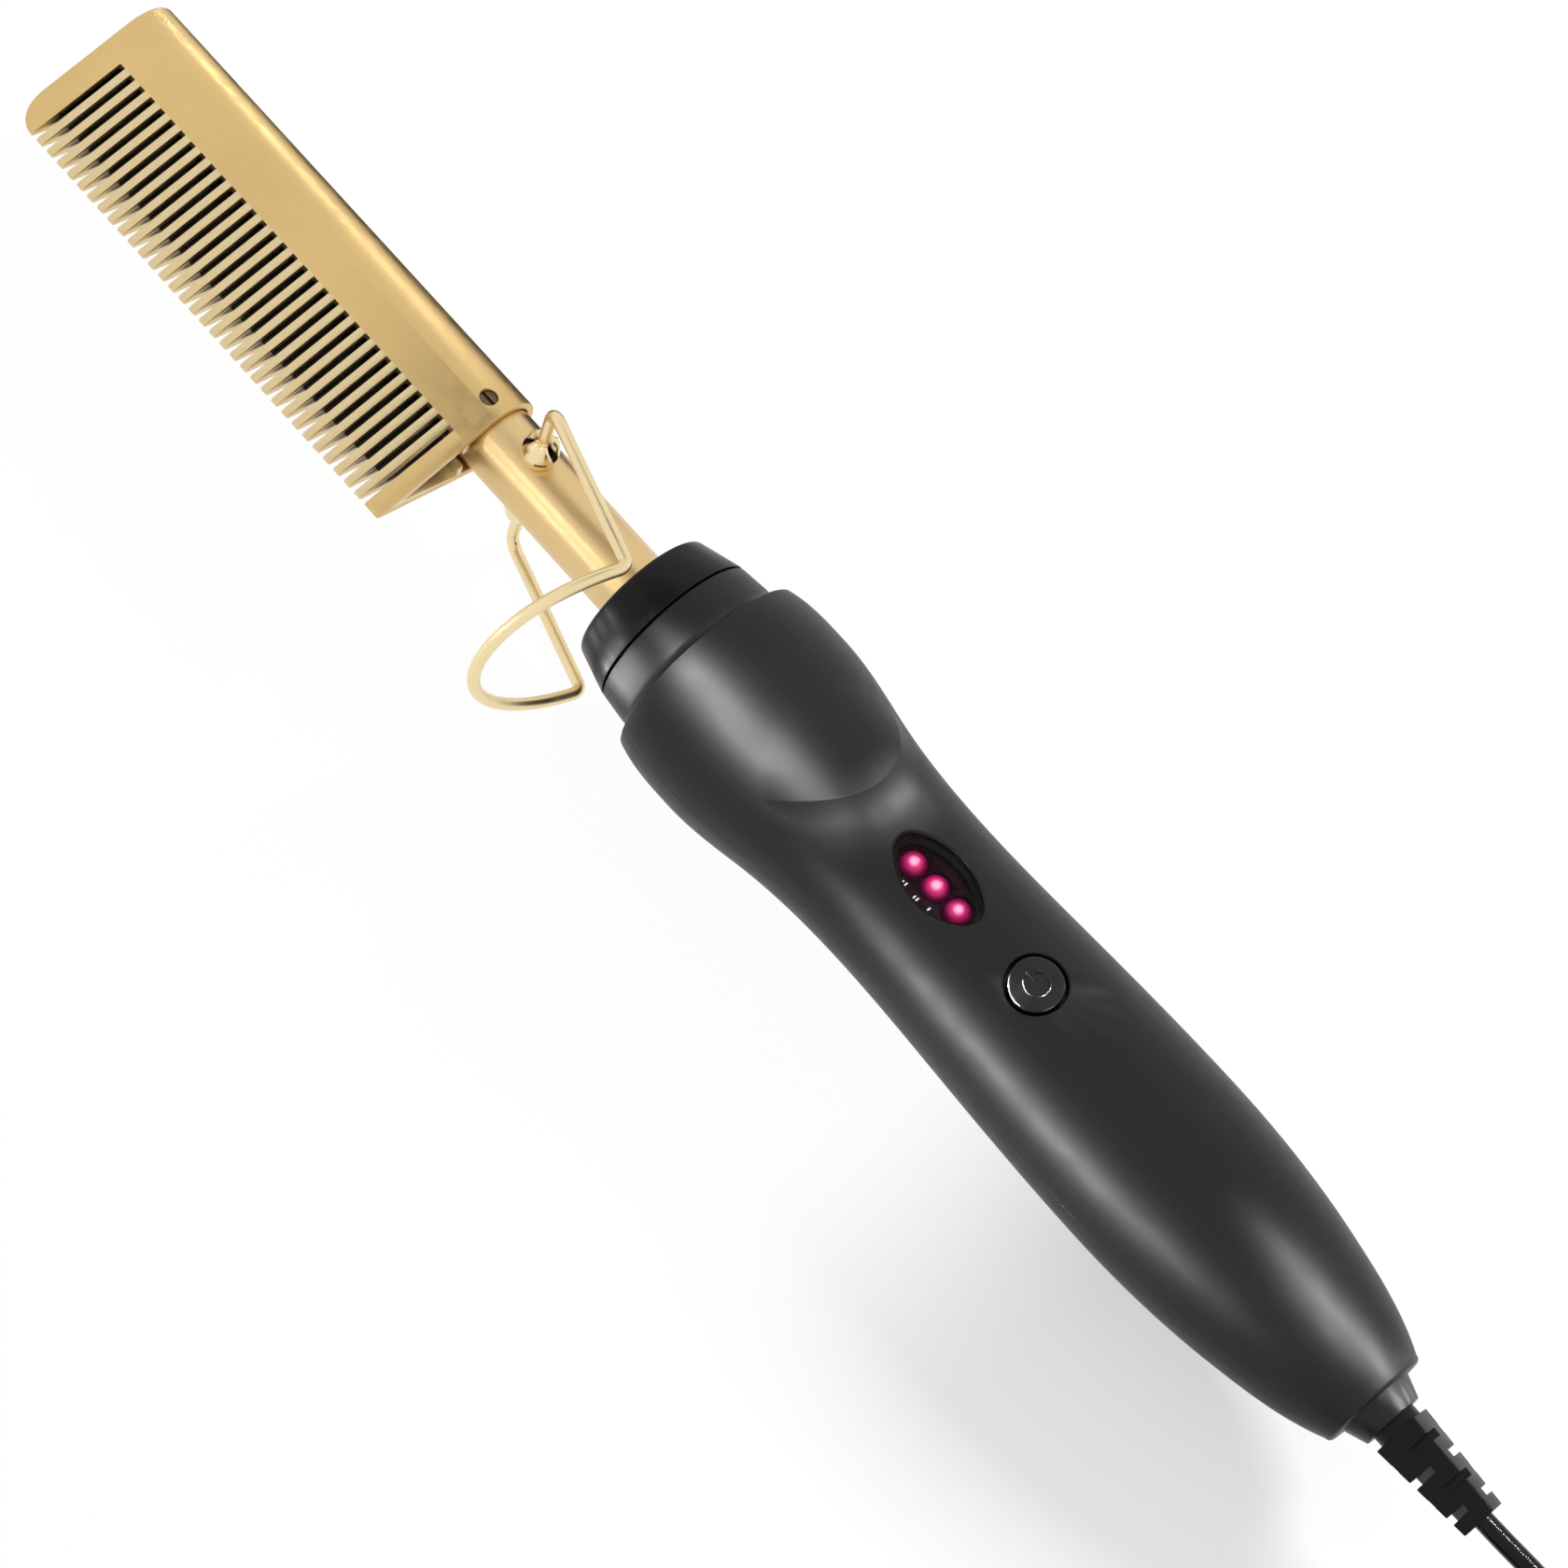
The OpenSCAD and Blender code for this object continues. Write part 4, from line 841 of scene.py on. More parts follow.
class COMB_OT_camera(bpy.types.Operator):
    """Set the camera over the comb, with the lead running out of view"""

    bl_idname = "comb.camera"
    bl_label = "Camera"
    bl_options = {"REGISTER", "UNDO"}

    def execute(self, context):
        s = sizes(context, "comb_stage")
        back = SEEN_ALONG.cross(SEEN_UP).normalized()
        across = (SLANT[0] * SEEN_ALONG + SLANT[1] * SEEN_UP).normalized()
        up = back.cross(across)
        target = Vector((4.3, ORIGIN[1] * 1000, ORIGIN[2] * 1000)) - 3.07 * SEEN_UP
        eye = (target + s.distance * back) / 1000
        data = bpy.data.cameras.new("camera")
        data.lens, data.sensor_width, data.clip_start = s.lens, 36, 0.01
        made = bpy.data.objects.new("camera", data)
        turn = Matrix((across, up, back)).transposed()
        made.matrix_world = Matrix.Translation(eye) @ turn.to_4x4()
        context.scene.collection.objects.link(made)
        context.scene.camera = made
        return {"FINISHED"}


# Ways of the lead from the relief to the coil and from the coil to the plug, in millimetres
# from the model's origin; the coil's centre, the angle where it starts and its turns in a layer
LEAD_ROUTE = [
    (147, 5.8, 20.7), (152.4, 5.8, 20.7), (157, 6, 20.5), (161.5, 6.6, 19.7), (166, 7.5, 18.1),
    (170.3, 8.5, 15.8), (174.5, 9.5, 12.9), (178.7, 10.5, 9.8), (183, 11.5, 6.9),
    (187.5, 12.6, 4.5), (192.3, 13.8, 2.9), (197, 14.9, 2.3), (201.5, 16, 2.2), (206, 17.1, 2.2),
]
TAIL_ROUTE = [
    (218, -31.1, 11.8), (213.2, -32.3, 11.4), (208.5, -33.4, 10.4), (204, -34.4, 9),
    (199.5, -35.1, 7.7), (195, -35.4, 7), (190.5, -35.5, 6.9),
]
COIL_CENTRE, COIL_START, LAYER_TURNS = (212.0, -7.0), 104.0, 3.625


def coil_route(s):
    """Turns of the tied coil, layer on layer, in and out."""
    total, step = s.layers * LAYER_TURNS, 10
    far = s.coil / 2 + LAYER_TURNS * s.diameter / 2
    low = 0.6 + s.diameter / 2
    route = []
    for i in range(int(total * 360 / step) + 1):
        turns = i * step / 360
        layer = min(int(turns / LAYER_TURNS), s.layers - 1)
        along = (turns - layer * LAYER_TURNS) * s.diameter
        radius = far - along if layer % 2 == 0 else far - LAYER_TURNS * s.diameter + along
        nearest = round(turns / LAYER_TURNS)
        rise = 0.5 + (turns - nearest * LAYER_TURNS) * 360 / 80
        if 0 < nearest < s.layers and 0 < rise < 1:
            height = nearest - 1 + rise * rise * (3 - 2 * rise)
        else:
            height = layer
        angle = math.radians(COIL_START - turns * 360)
        route.append((COIL_CENTRE[0] + radius * math.cos(angle),
                      COIL_CENTRE[1] + radius * math.sin(angle), low + height * s.diameter))
    return route


def smooth_route(points, parts=3):
    """Points of a smooth curve through the given ones."""
    p = [np.array(q, float) for q in points]
    p = [2 * p[0] - p[1]] + p + [2 * p[-1] - p[-2]]
    found = []
    for a, b, c, d in zip(p, p[1:], p[2:], p[3:]):
        for i in range(parts):
            t = i / parts
            found.append(0.5 * (2 * b + (c - a) * t + (2 * a - 5 * b + 4 * c - d) * t * t
                                + (3 * b - a - 3 * c + d) * t**3))
    return found + [p[-2]]


class COMB_OT_lead(bpy.types.Operator):
    """Lay the lead from the strain relief down to its tied coil and on to the plug"""

    bl_idname = "comb.lead"
    bl_label = "Lead"
    bl_options = {"REGISTER", "UNDO"}

    def execute(self, context):
        s = sizes(context, "comb_lead")
        f = sizes(context, "comb_finish")
        route = (smooth_route(LEAD_ROUTE)[:-1] + [np.array(p) for p in coil_route(s)[:-1]]
                 + smooth_route(TAIL_ROUTE))
        route = np.array(route) / 1000
        data = bpy.data.curves.new("lead", "CURVE")
        data.dimensions = "3D"
        line = data.splines.new("POLY")
        line.points.add(len(route) - 1)
        line.points.foreach_set("co", np.c_[route, np.ones(len(route))].ravel())
        data.bevel_depth, data.bevel_resolution, data.use_fill_caps = s.diameter / 2000, 4, True
        line.use_smooth = True
        made = bpy.data.objects.new("lead", data)
        context.scene.collection.objects.link(made)
        finish = simple_finish("lead_jacket", f.lead, tinted(f.lead, 1.5), (0.16, 0.22),
                               (700, 0.003), IOR=1.5, Specular_IOR_Level=0.2)
        data.materials.append(finish)
        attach(made, "handle")
        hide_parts("cord_lead", "cord_coil", "cord_tail")
        span = float(np.linalg.norm(np.diff(route, axis=0), axis=1).sum())
        context.scene["comb_lead_length"] = span
        return {"FINISHED"}


# Radius of the edge round the head's closed end
END_EDGE = 0.3


class COMB_OT_head(bpy.types.Operator):
    """Make the slotted head: spine, ledges, teeth and far block"""

    bl_idname = "comb.head"
    bl_label = "Head"
    bl_options = {"REGISTER", "UNDO"}

    def execute(self, context):
        h, f = sizes(context, "comb_head"), sizes(context, "comb_finish")
        gold = gold_head_finish(f, h)
        near, far = -h.near, -h.near - h.long
        plug_end = far + 2.4
        last_slot = near - h.first - h.pitch * (h.slots - 1) - h.slot / 2

        ends = [(near - d, i) for d, i in rounded(0.25, 3)] + [(plug_end, 0)]
        spine = Shape().rings([section_at(x, channel_section(h, i)) for x, i in ends])
        spine = spine.object("head_spine")
        hole = Shape().spun_z(
            [(h.screw, 5.0), (h.screw, h.spine - 0.25), (h.screw + 0.12, h.spine - 0.05),
             (h.screw + 0.4, h.spine + 0.6)], (near - h.screw_in, 0), 40)
        cut(spine, hole.object("screw_hole"))
        spine.data.materials.append(gold)
        # Closed end: its spine rounds off, and its edge is broken all round
        wedge, r = math.degrees(head_wedge(h)), h.spine_corner
        stations = [plug_end] + [far + r - r * math.sin(a)
                                 for a in np.radians(np.linspace(12, 84, 7))] + [far + 0.004, far]
        rings = []
        for x in stations:
            top = h.spine - dip(r, far + r - x)
            inset = dip(END_EDGE, far + END_EDGE - x)
            low = flank(inset, -h.root, h.spine, head_wedge(h))
            ring = [(-h.root, low)] + arc(0, 0, h.spine - inset, 90 + wedge, -90 - wedge, 52)
            ring = [(min(y, top), z) for y, z in ring + [(-h.root, -low)]]
            rings.append(section_at(x, ring))
        end = Shape().rings(rings).object("head_end")
        end.data.materials.append(gold)

        first = toothed_bar(h, near, near - h.first + h.slot / 2).object("head_first_tooth")
        first.data.materials.append(gold)
        start = near - h.first - h.slot / 2
        tooth = toothed_bar(h, start, start - h.pitch + h.slot).object("head_teeth")
        teeth = row(tooth, h.slots - 1, (-h.pitch, 0, 0), gold)

        centre = far + h.corner
        stations = [(last_slot - d, i) for d, i in rounded(h.bevel, 2)]
        for x in [centre - h.corner * math.sin(a) for a in np.radians(np.linspace(2, 86, 15))] + [
                far + 0.004, far]:
            stations.append((x, dip(END_EDGE, far + END_EDGE - x)))
        block = Shape().rings([
            section_at(x, block_section(h, inset, -h.reach + dip(h.corner, centre - x)))
            for x, inset in stations]).object("head_block")
        block.data.materials.append(gold)

        head = joined("comb_head_gold", spine, end, first, teeth, block, sharp=30)
        finished(head, None, "handle", "gold_head", "comb_head")

        # The strip that closes the gap between the ledges reaches into the wedge's point. Between the ledges
        # it is the guard strip; the part that reaches toward the tips is a dark sheet standing in for shade
        # in the slots
        high, low = -h.channel - 0.1, -h.root - 0.65
        side = [(high, h.ledge_gap / 2 - 0.05), (low + 0.6, h.ledge_gap / 2 - 0.05), (low + 0.6, 3.0),
                (low, 3.0), (low, 0.3), (-h.apex + 0.1, 0.25)]
        ring = side + [(y, -z) for y, z in reversed(side)]
        strip = Shape().rings([section_at(x, ring) for x in (near - 4.0, far + 2.5)])
        mica_and_shade = simple_finish("dark_mica", (0.012, 0.009, 0.008), None, (0.6, 0.75), (1400, 0.01), 150)
        finished(strip.object("guard_strip_mica"), mica_and_shade, "handle", "guard_mica", "guard_strip")
        return {"FINISHED"}


# Angles at which a stud's mouth is pressed in, and the width of a crease, in radians
CREASES, CREASE_WIDTH = (0.16, 1.92, 3.68), 0.36


class COMB_OT_shank(bpy.types.Operator):
    """Make the shank tube and the two crimped hinge studs"""

    bl_idname = "comb.shank"
    bl_label = "Shank and Studs"
    bl_options = {"REGISTER", "UNDO"}

    def execute(self, context):
        s, f = sizes(context, "comb_shank"), sizes(context, "comb_finish")
        r, inner, x0, x1 = s.radius, s.radius - s.wall, -47.0, 18.0
        tube = Shape().spun_x(
            [(x0, inner + 0.1), (x0, r - 0.2), (x0 + 0.2, r), (x1 - 0.2, r), (x1, r - 0.2),
             (x1, inner + 0.1), (x1 - 0.1, inner), (x0 + 0.1, inner)], 128)
        finished(tube.object("shank_tube_gold"), polished_gold_finish(f), "handle", "gold_tube", "shank_tube")

        centre, bore, lip = s.mouth - 2.9, s.wire + 0.05, 0.55
        ball = [(0.3, 5.3), (s.stud * 0.72, 5.3), (s.stud * 0.72, 5.9)]
        low = math.degrees(math.asin(-(centre - 6.05) / s.stud * 0.999))
        ball += arc(0, centre, s.stud, max(low, -46), 58, 18)
        ball += arc(s.stud * 0.53 - lip + 0.3, centre + s.stud * 0.848 - 0.1, lip, 60, 170, 5)
        ball += [(bore, centre + 1.6), (bore, 7.2), (0.3, 7.2)]

        def crease(a):
            """How far the mouth is pressed in at the angle a, from 0 to 1."""
            return max(math.exp(-((math.remainder(a - k, 2 * math.pi) / CREASE_WIDTH) ** 2))
                       for k in CREASES)

        def crimp(p, a):
            """Folds the mouth in between three lips, unevenly."""
            x, y, z = p
            height = min(max((z - centre - 0.2) / 1.8, 0), 1)
            fold = crease(a)
            pull = 1 - 0.45 * height * fold
            rise = 1.3 * min(max((z - 6.0) / 3.0, 0), 1)
            return (HINGE_X + (x - HINGE_X) * pull, y * pull, z + rise - 1.9 * height * fold
                    + 0.12 * height * math.sin(7 * a))

        stud = Shape()
        for side in (1, -1):
            other = Shape().spun_z(ball, (HINGE_X, 0), 120, bend=crimp).moved(lambda p: p * (1, 1, side))
            start = len(stud.points)
            stud.points += other.points
            stud.faces += [tuple(k + start for k in face) for face in other.faces]
        stud = stud.object("hinge_studs_gold", 42)
        # Painted shade for the attribute crease: dark in the creases near the mouth, and in a painted slit on
        # each ball
        dark = []
        for x, y, z in own_points(stud.data).tolist():
            high = min(max((abs(z) - centre - 0.3) / 0.9, 0), 1)
            a = math.atan2(y, x - HINGE_X)
            slit = abs(abs(z) - 8.2) < 0.16 and abs(math.remainder(a + 0.73, 2 * math.pi)) < 0.32
            dark.append(max(high * crease(a) ** 2, slit))
        stud.data.attributes.new("crease", "FLOAT", "POINT").data.foreach_set("value", dark)
        finished(stud, crimped_gold_finish(f), "handle", "gold_tube", "hinge_studs")
        return {"FINISHED"}


class COMB_OT_rest(bpy.types.Operator):
    """Bend the wire rest that folds under the shank"""

    bl_idname = "comb.rest"
    bl_label = "Wire Rest"
    bl_options = {"REGISTER", "UNDO"}

    def execute(self, context):
        s, f = sizes(context, "comb_shank"), sizes(context, "comb_finish")
        gold = simple_finish("pale_gold_wire", f.wire_gold, tinted(f.wire_gold, 0.95),
                             (0.3, 0.38), (2500, 0.002), 60, Metallic=1.0)
        half = [(0, 0, z) for z in np.linspace(7.6, s.half - s.hinge_bend, 6)[:-1]]
        near, x1 = s.hinge_bend, s.leg - s.foot_bend
        half += [(x, 0, z) for x, z in arc(near, s.half - near, near, 180, 90, 12)]
        half += [(x, 0, s.half) for x in np.linspace(near, x1, 10)[1:-1]]
        half += [(x, y, s.half) for x, y in arc(x1, -s.foot_bend, s.foot_bend, 90, 0, 12)]
        loop = [(s.leg, y, z) for z, y in arc(0, -s.foot_bend, s.half, 0, -180, 60)[1:-1]]
        line = np.array(half + loop + [(x, y, -z) for x, y, z in reversed(half)])
        c, d = math.cos(s.angle), math.sin(s.angle)
        line = np.stack([HINGE_X + line[:, 0] * c + line[:, 1] * d,
                         -line[:, 0] * d + line[:, 1] * c, line[:, 2]], axis=-1)
        made = rod("wire_rest_gold", [line], s.wire, gold, 28)
        finished(made, None, "rest", "gold_wire", "wire_rest")
        return {"FINISHED"}


class COMB_OT_cap(bpy.types.Operator):
    """Turn the glossy front cap"""

    bl_idname = "comb.cap"
    bl_label = "Front Cap"
    bl_options = {"REGISTER", "UNDO"}

    def execute(self, context):
        f = sizes(context, "comb_finish")
        gloss = simple_finish("gloss_black", f.gloss_black, None, (0.3, 0.34), (4200, 0.001), IOR=1.5,
                              Specular_IOR_Level=0.2)
        profile = ([(0.15, 6.1), (0.0, 6.25)] + [(x, r) for r, x in arc(11.2, 1.0, 1.0, -90, -8, 8)]
                   + [(7.35, 14.05), (7.55, 14.02), (7.6, 13.85), (7.6, 12.35), (11.6, 12.35),
                      (11.6, 11.1), (2.2, 11.1), (2.2, 6.1)])
        cap = Shape().spun_x(profile, 144).object("front_cap_gloss", 40)
        finished(cap, gloss, "handle", "black_gloss", "front_cap")
        return {"FINISHED"}


def shell(s, top, steps=72):
    """One half of the handle as a closed skin, its outer edge broken at the parting plane."""
    start, long, butt, bore, bore_long = 7.9, s.long, s.long - 0.9, 6.33, 3.2
    inner_x = np.linspace(18.2, long - bore_long, 40)
    inner = list(zip(inner_x, np.maximum(handle_radius(s, inner_x) - s.wall, bore)))[::-1]
    turns = np.radians(np.linspace(0, 180, steps + 1))
    turns = np.insert(turns, [1, steps], [math.radians(0.2), math.radians(179.8)])
    shape, rings = Shape(), []
    for turn in turns:
        edge = hood_edge(turn) if top else 40.0
        before = 15.35 + (edge - 0.4 - 15.35) * np.linspace(0, 1, 36)
        across = edge + np.array([-0.25, -0.1, 0.05, 0.2, 0.35, 0.5, 0.65, 0.8])
        after = edge + 1.1 + (butt - edge - 1.1) * np.linspace(0, 1, 100)
        x = np.concatenate([before, across, after])
        r = shell_radius(s, x, turn) if top else handle_radius(s, x)
        neck = [(start, 12.45), (start, 13.95), (start + 0.15, 14.12), (12.6, 14.6)]
        neck += arc(13.0, 16.8, 2.2, -88, -2, 10) + [(15.2, 16.85)]
        round_butt = [(butt + px, py) for px, py in arc(0, 8.0, 0.9, 80, 0, 5)]
        outer = neck + list(zip(x, r)) + round_butt
        if turn < 0.001 or turn > math.pi - 0.001:
            outer = [outer[0]] + [(px, py - 0.04) for px, py in outer[1:]]
        ring = (outer + [(long, 6.5), (long - 0.15, bore), (long - bore_long, bore)] + inner
                + [(17.8, 12.8), (12.1, 12.8), (12.0, 12.45)])
        way = 1 if top else -1
        rings.append([(px, py * math.cos(turn), way * py * math.sin(turn)) for px, py in ring])
    return shape.rings(rings)


def surface_height(s, x, y):
    """Height of the handle's plain surface over a point of the turned frame."""
    return np.sqrt(np.maximum(handle_radius(s, x) ** 2 - y**2, 1.0))


def surface_cutter(s, outline, low, edge):
    """A closed cutter whose mouth flares where it meets the handle's surface."""
    shape, rings = Shape(), []
    levels = [(0, None, low)] + [
        (edge * (1 - math.cos(a)), edge * (math.sin(a) - 1), None)
        for a in np.radians([0, 30, 60, 80])] + [(edge * 1.6, edge * 0.6, None), (edge * 1.6, 3, None)]
    for grow, above, fixed in levels:
        ring = []
        for x, y in outline(grow):
            bx, by = outline(edge)[len(ring)]
            z = fixed if above is None else float(surface_height(s, bx, by)) + above
            ring.append((x, y, z))
        rings.append(ring)
    return shape.rings(rings).moved(turned)


def true_normals(mesh, s):
    """Gives the outer skin the exact normals of its surface, and leaves the cut edges alone."""
    normals = gathered(mesh.corner_normals, "vector", 3)
    corners = gathered(mesh.loops, "vertex_index", 1, np.int32)
    p = own_points(mesh)
    x, level = p[:, 0], np.hypot(p[:, 1], p[:, 2])
    turn = np.arctan2(p[:, 2], p[:, 1])
    slope = (handle_radius(s, x + 0.05) - handle_radius(s, x - 0.05)) / 0.1
    exact = np.stack([-slope, np.cos(turn), np.sin(turn)], axis=-1)
    exact /= np.linalg.norm(exact, axis=1, keepdims=True)
    plain = (np.abs(level - handle_radius(s, x)) < 0.02) & (x > 15.6) & (x < s.long - 1.1)
    totals = gathered(mesh.polygons, "loop_total", 1, np.int32)
    faces = np.repeat(gathered(mesh.polygon_normals, "vector", 3), totals, axis=0)
    close = (faces * exact[corners]).sum(axis=1) > math.cos(math.radians(9))
    use = plain[corners] & close
    normals[use] = exact[corners][use]
    mesh.normals_split_custom_set(normals.tolist())


class COMB_OT_handle(bpy.types.Operator):
    """Make the two handle shells, with hood, window, button hole and screw wells"""

    bl_idname = "comb.handle"
    bl_label = "Handle"
    bl_options = {"REGISTER", "UNDO"}

    def execute(self, context):
        s, f = sizes(context, "comb_handle"), sizes(context, "comb_finish")
        charcoal = simple_finish(
            "charcoal_plastic", f.charcoal, tinted(f.charcoal, 1.12), (0.42, 0.47),
            (4200, 0.003), 120, IOR=1.5, Specular_IOR_Level=0.29)
        upper = shell(s, True).object("shell_top")

        def window(grow):
            return window_at(s, grow)

        def hole(grow):
            return arc(s.button_x, 0, s.button + s.button_gap + grow, 0, 354, 59)

        cut(upper, surface_cutter(s, window, 9.0, 0.45).object("window_cutter"),
            surface_cutter(s, hole, 9.0, 0.3).object("button_cutter"))
        shade(upper.data, 30)
        # Well under the window that carries the lens
        heights = [(1.2, 10.9), (1.2, 12.75), (0.05, 12.75), (0.05, 11.9), (-0.8, 11.9), (-0.8, 10.9)]
        well = stacked(window, heights, closed=True).moved(turned).object("lens_well")
        upper = joined("handle_shell_top_charcoal", upper, well, sharp=30)
        true_normals(upper.data, s)
        finished(upper, charcoal, "handle", "charcoal_shell", "handle_shell_top")

        lower = shell(s, False).object("shell_bottom")
        wells, bosses, hole_r = [], Shape(), 3.2
        for x in SCREW_XS:
            level = float(handle_radius(s, x))
            profile = [(1.8, -1.0), (1.8, -6.0), (hole_r, -6.0), (hole_r, -level + 0.4),
                       (hole_r + 0.5, -level - 0.6), (hole_r + 0.5, -level - 3)]
            wells.append(Shape().spun_z(profile, (x, 0), 48).object("screw_well"))
            level -= 0.9
            bosses.spun_z([(1.9, -0.1), (4.1, -0.1), (4.1, -level), (3.25, -level), (3.25, -6.0),
                           (1.9, -6.0)], (x, 0), 48, closed=True)
        bosses = bosses.object("screw_bosses")
        cut(lower, *wells)
        shade(lower.data, 30)
        lower = joined("handle_shell_bottom_charcoal", lower, bosses, sharp=30)
        true_normals(lower.data, s)
        finished(lower, charcoal, "handle", "charcoal_shell", "handle_shell_bottom")
        return {"FINISHED"}


class COMB_OT_window(bpy.types.Operator):
    """Make the smoky lens, the signal lamps and the marks beside them"""

    bl_idname = "comb.window"
    bl_label = "Window and Lamps"
    bl_options = {"REGISTER", "UNDO"}

    def execute(self, context):
        s, f = sizes(context, "comb_handle"), sizes(context, "comb_finish")
        top = s.lens_top
        lens = stacked(lambda grow: window_at(s, grow), [
            (-0.15, top - 1.0), (0.0, top - 0.85), (0.0, top - 0.15), (-0.15, top)])
        lens = lens.moved(turned).object("window_lens_smoky")
        finished(lens, lens_finish(), "handle", "smoky_lens", "window_lens")

        lit = lamp_finish(f)
        r, base, tip = s.lamp, 8.0, s.lens_top - 1.25
        profile = [(0.0, base), (r + 0.3, base), (r + 0.3, base + 0.5), (r + 0.2, base + 0.6),
                   (r, base + 0.65)]
        profile += arc(0, tip - r, r, 0, 90, 14)
        first = s.window_x - (s.lamps - 1) / 2 * s.lamp_pitch
        lamp = Shape().spun_z(profile, (first, 0), 48).moved(turned).object("signal_lamp")
        row(lamp, s.lamps, (s.lamp_pitch, 0, 0), lit)
        p = own_points(lamp.data)
        c, d = math.cos(CONTROLS_TURN), math.sin(CONTROLS_TURN)
        y, z = p[:, 1] * c + p[:, 2] * d, p[:, 2] * c - p[:, 1] * d
        x = (p[:, 0] - first + s.lamp_pitch / 2) % s.lamp_pitch - s.lamp_pitch / 2
        glow = np.clip(1 - np.hypot(x, y) / r, 0, 1) * np.clip((z - base) / (tip - base), 0, 1)
        level = lamp.data.attributes.new("glow", "FLOAT", "POINT")
        level.data.foreach_set("value", glow.astype(np.float32))
        lamp.name = "signal_lamps_lit"
        finished(lamp, None, "handle", "lamp_magenta", "signal_lamps")

        # Plain ticks printed beside the lamps on a black mask. The ink glows: painted light standing in for
        # the light that reaches it through the lens
        glowing_ink = simple_finish("white_ink", (0.75, 0.75, 0.72), None, (0.5, 0.6), (2000, 0.003),
                            Emission_Color=(0.9, 0.9, 0.88, 1), Emission_Strength=1.0)
        # Painted light: the mask glows a faint red, standing in for the lamps' light spilling on it
        black = simple_finish("black_mask", (0.003, 0.002, 0.0025), None, (0.3, 0.4), (1500, 0.004),
                              Specular_IOR_Level=0.15, Emission_Color=(0.03, 0.001, 0.005, 1),
                              Emission_Strength=0.15)
        mask = stacked(lambda grow: window_at(s, grow), [(-0.9, 10.2), (-0.9, 10.5)])
        mask = mask.moved(turned).object("lamp_mask_plate")
        holes = [Shape().spun_z([(r + 0.12, 9.5), (r + 0.12, 11.0)], (first + k * s.lamp_pitch, 0), 40)
                 .moved(turned).object("mask_hole") for k in range(s.lamps)]
        cut(mask, *holes)
        finished(mask, black, "handle", "black_gloss")
        tick = Shape()
        for dx, y in ((1.0, -3.45), (1.6, -3.3), (3.85, -3.7), (4.4, -3.6), (6.6, -3.3)):
            x = first + dx
            flat = [(x, y), (x + 0.22, y), (x + 0.22, y + 0.6), (x, y + 0.6)]
            tick.rings([[(px, py, z) for px, py in flat] for z in (10.45, 10.53)])
        ticks = tick.moved(turned).object("lamp_ticks")
        ticks.data.materials.append(glowing_ink)
        finished(ticks, None, "handle", "switch_white")
        return {"FINISHED"}


class COMB_OT_button(bpy.types.Operator):
    """Make the power button with its raised mark"""

    bl_idname = "comb.button"
    bl_label = "Power Button"
    bl_options = {"REGISTER", "UNDO"}

    def execute(self, context):
        s, f = sizes(context, "comb_handle"), sizes(context, "comb_finish")
        charcoal = simple_finish("button_plastic", f.charcoal, tinted(f.charcoal, 1.2),
                                 (0.26, 0.34), (2600, 0.006), 300, IOR=1.5, Specular_IOR_Level=0.32)
        top, steps = float(handle_radius(s, s.button_x)) + 0.1, 72
        edge, r, rings = 0.42, s.button, []

        def crest(y):
            return math.sqrt(top * top - y * y)

        for radius, drop, fixed in [(r + 0.8, 0, 11.2), (r + 0.8, 0, 12.2), (r, 0, 12.2)] + [
                (r - edge * (1 - math.cos(a)), edge * (math.sin(a) - 1), None)
                for a in np.radians([0, 25, 50, 75, 90])] + [(q, 0, None) for q in (3.2, 2.4, 1.6, 0.8, 0)]:
            ring = [(s.button_x + radius * math.cos(a), radius * math.sin(a))
                    for a in np.linspace(0, 2 * math.pi, steps, endpoint=False)]
            rings.append([(x, y, fixed if fixed else crest(y) + drop) for x, y in ring])
        rings.insert(0, [(s.button_x, 0, 11.2)] * steps)
        cap = Shape().rings(rings, caps=False).moved(turned).object("button_cap", 35)
        cap.data.materials.append(charcoal)
        mark_r, mark = 1.9, 0.25
        ring = arc(s.button_x, 0, mark_r, 215, 505, 39)
        bar = [(s.button_x - q, 0.0) for q in np.linspace(0.5, 2.3, 8)]
        lines = [turned([(x, y, crest(y) + 0.01) for x, y in line]) for line in (ring, bar)]
        raised = rod("button_mark", lines, mark, charcoal, 12)
        made = joined("power_button_cap", cap, raised, sharp=35)
        finished(made, None, "button", "charcoal_button", "power_button")
        return {"FINISHED"}


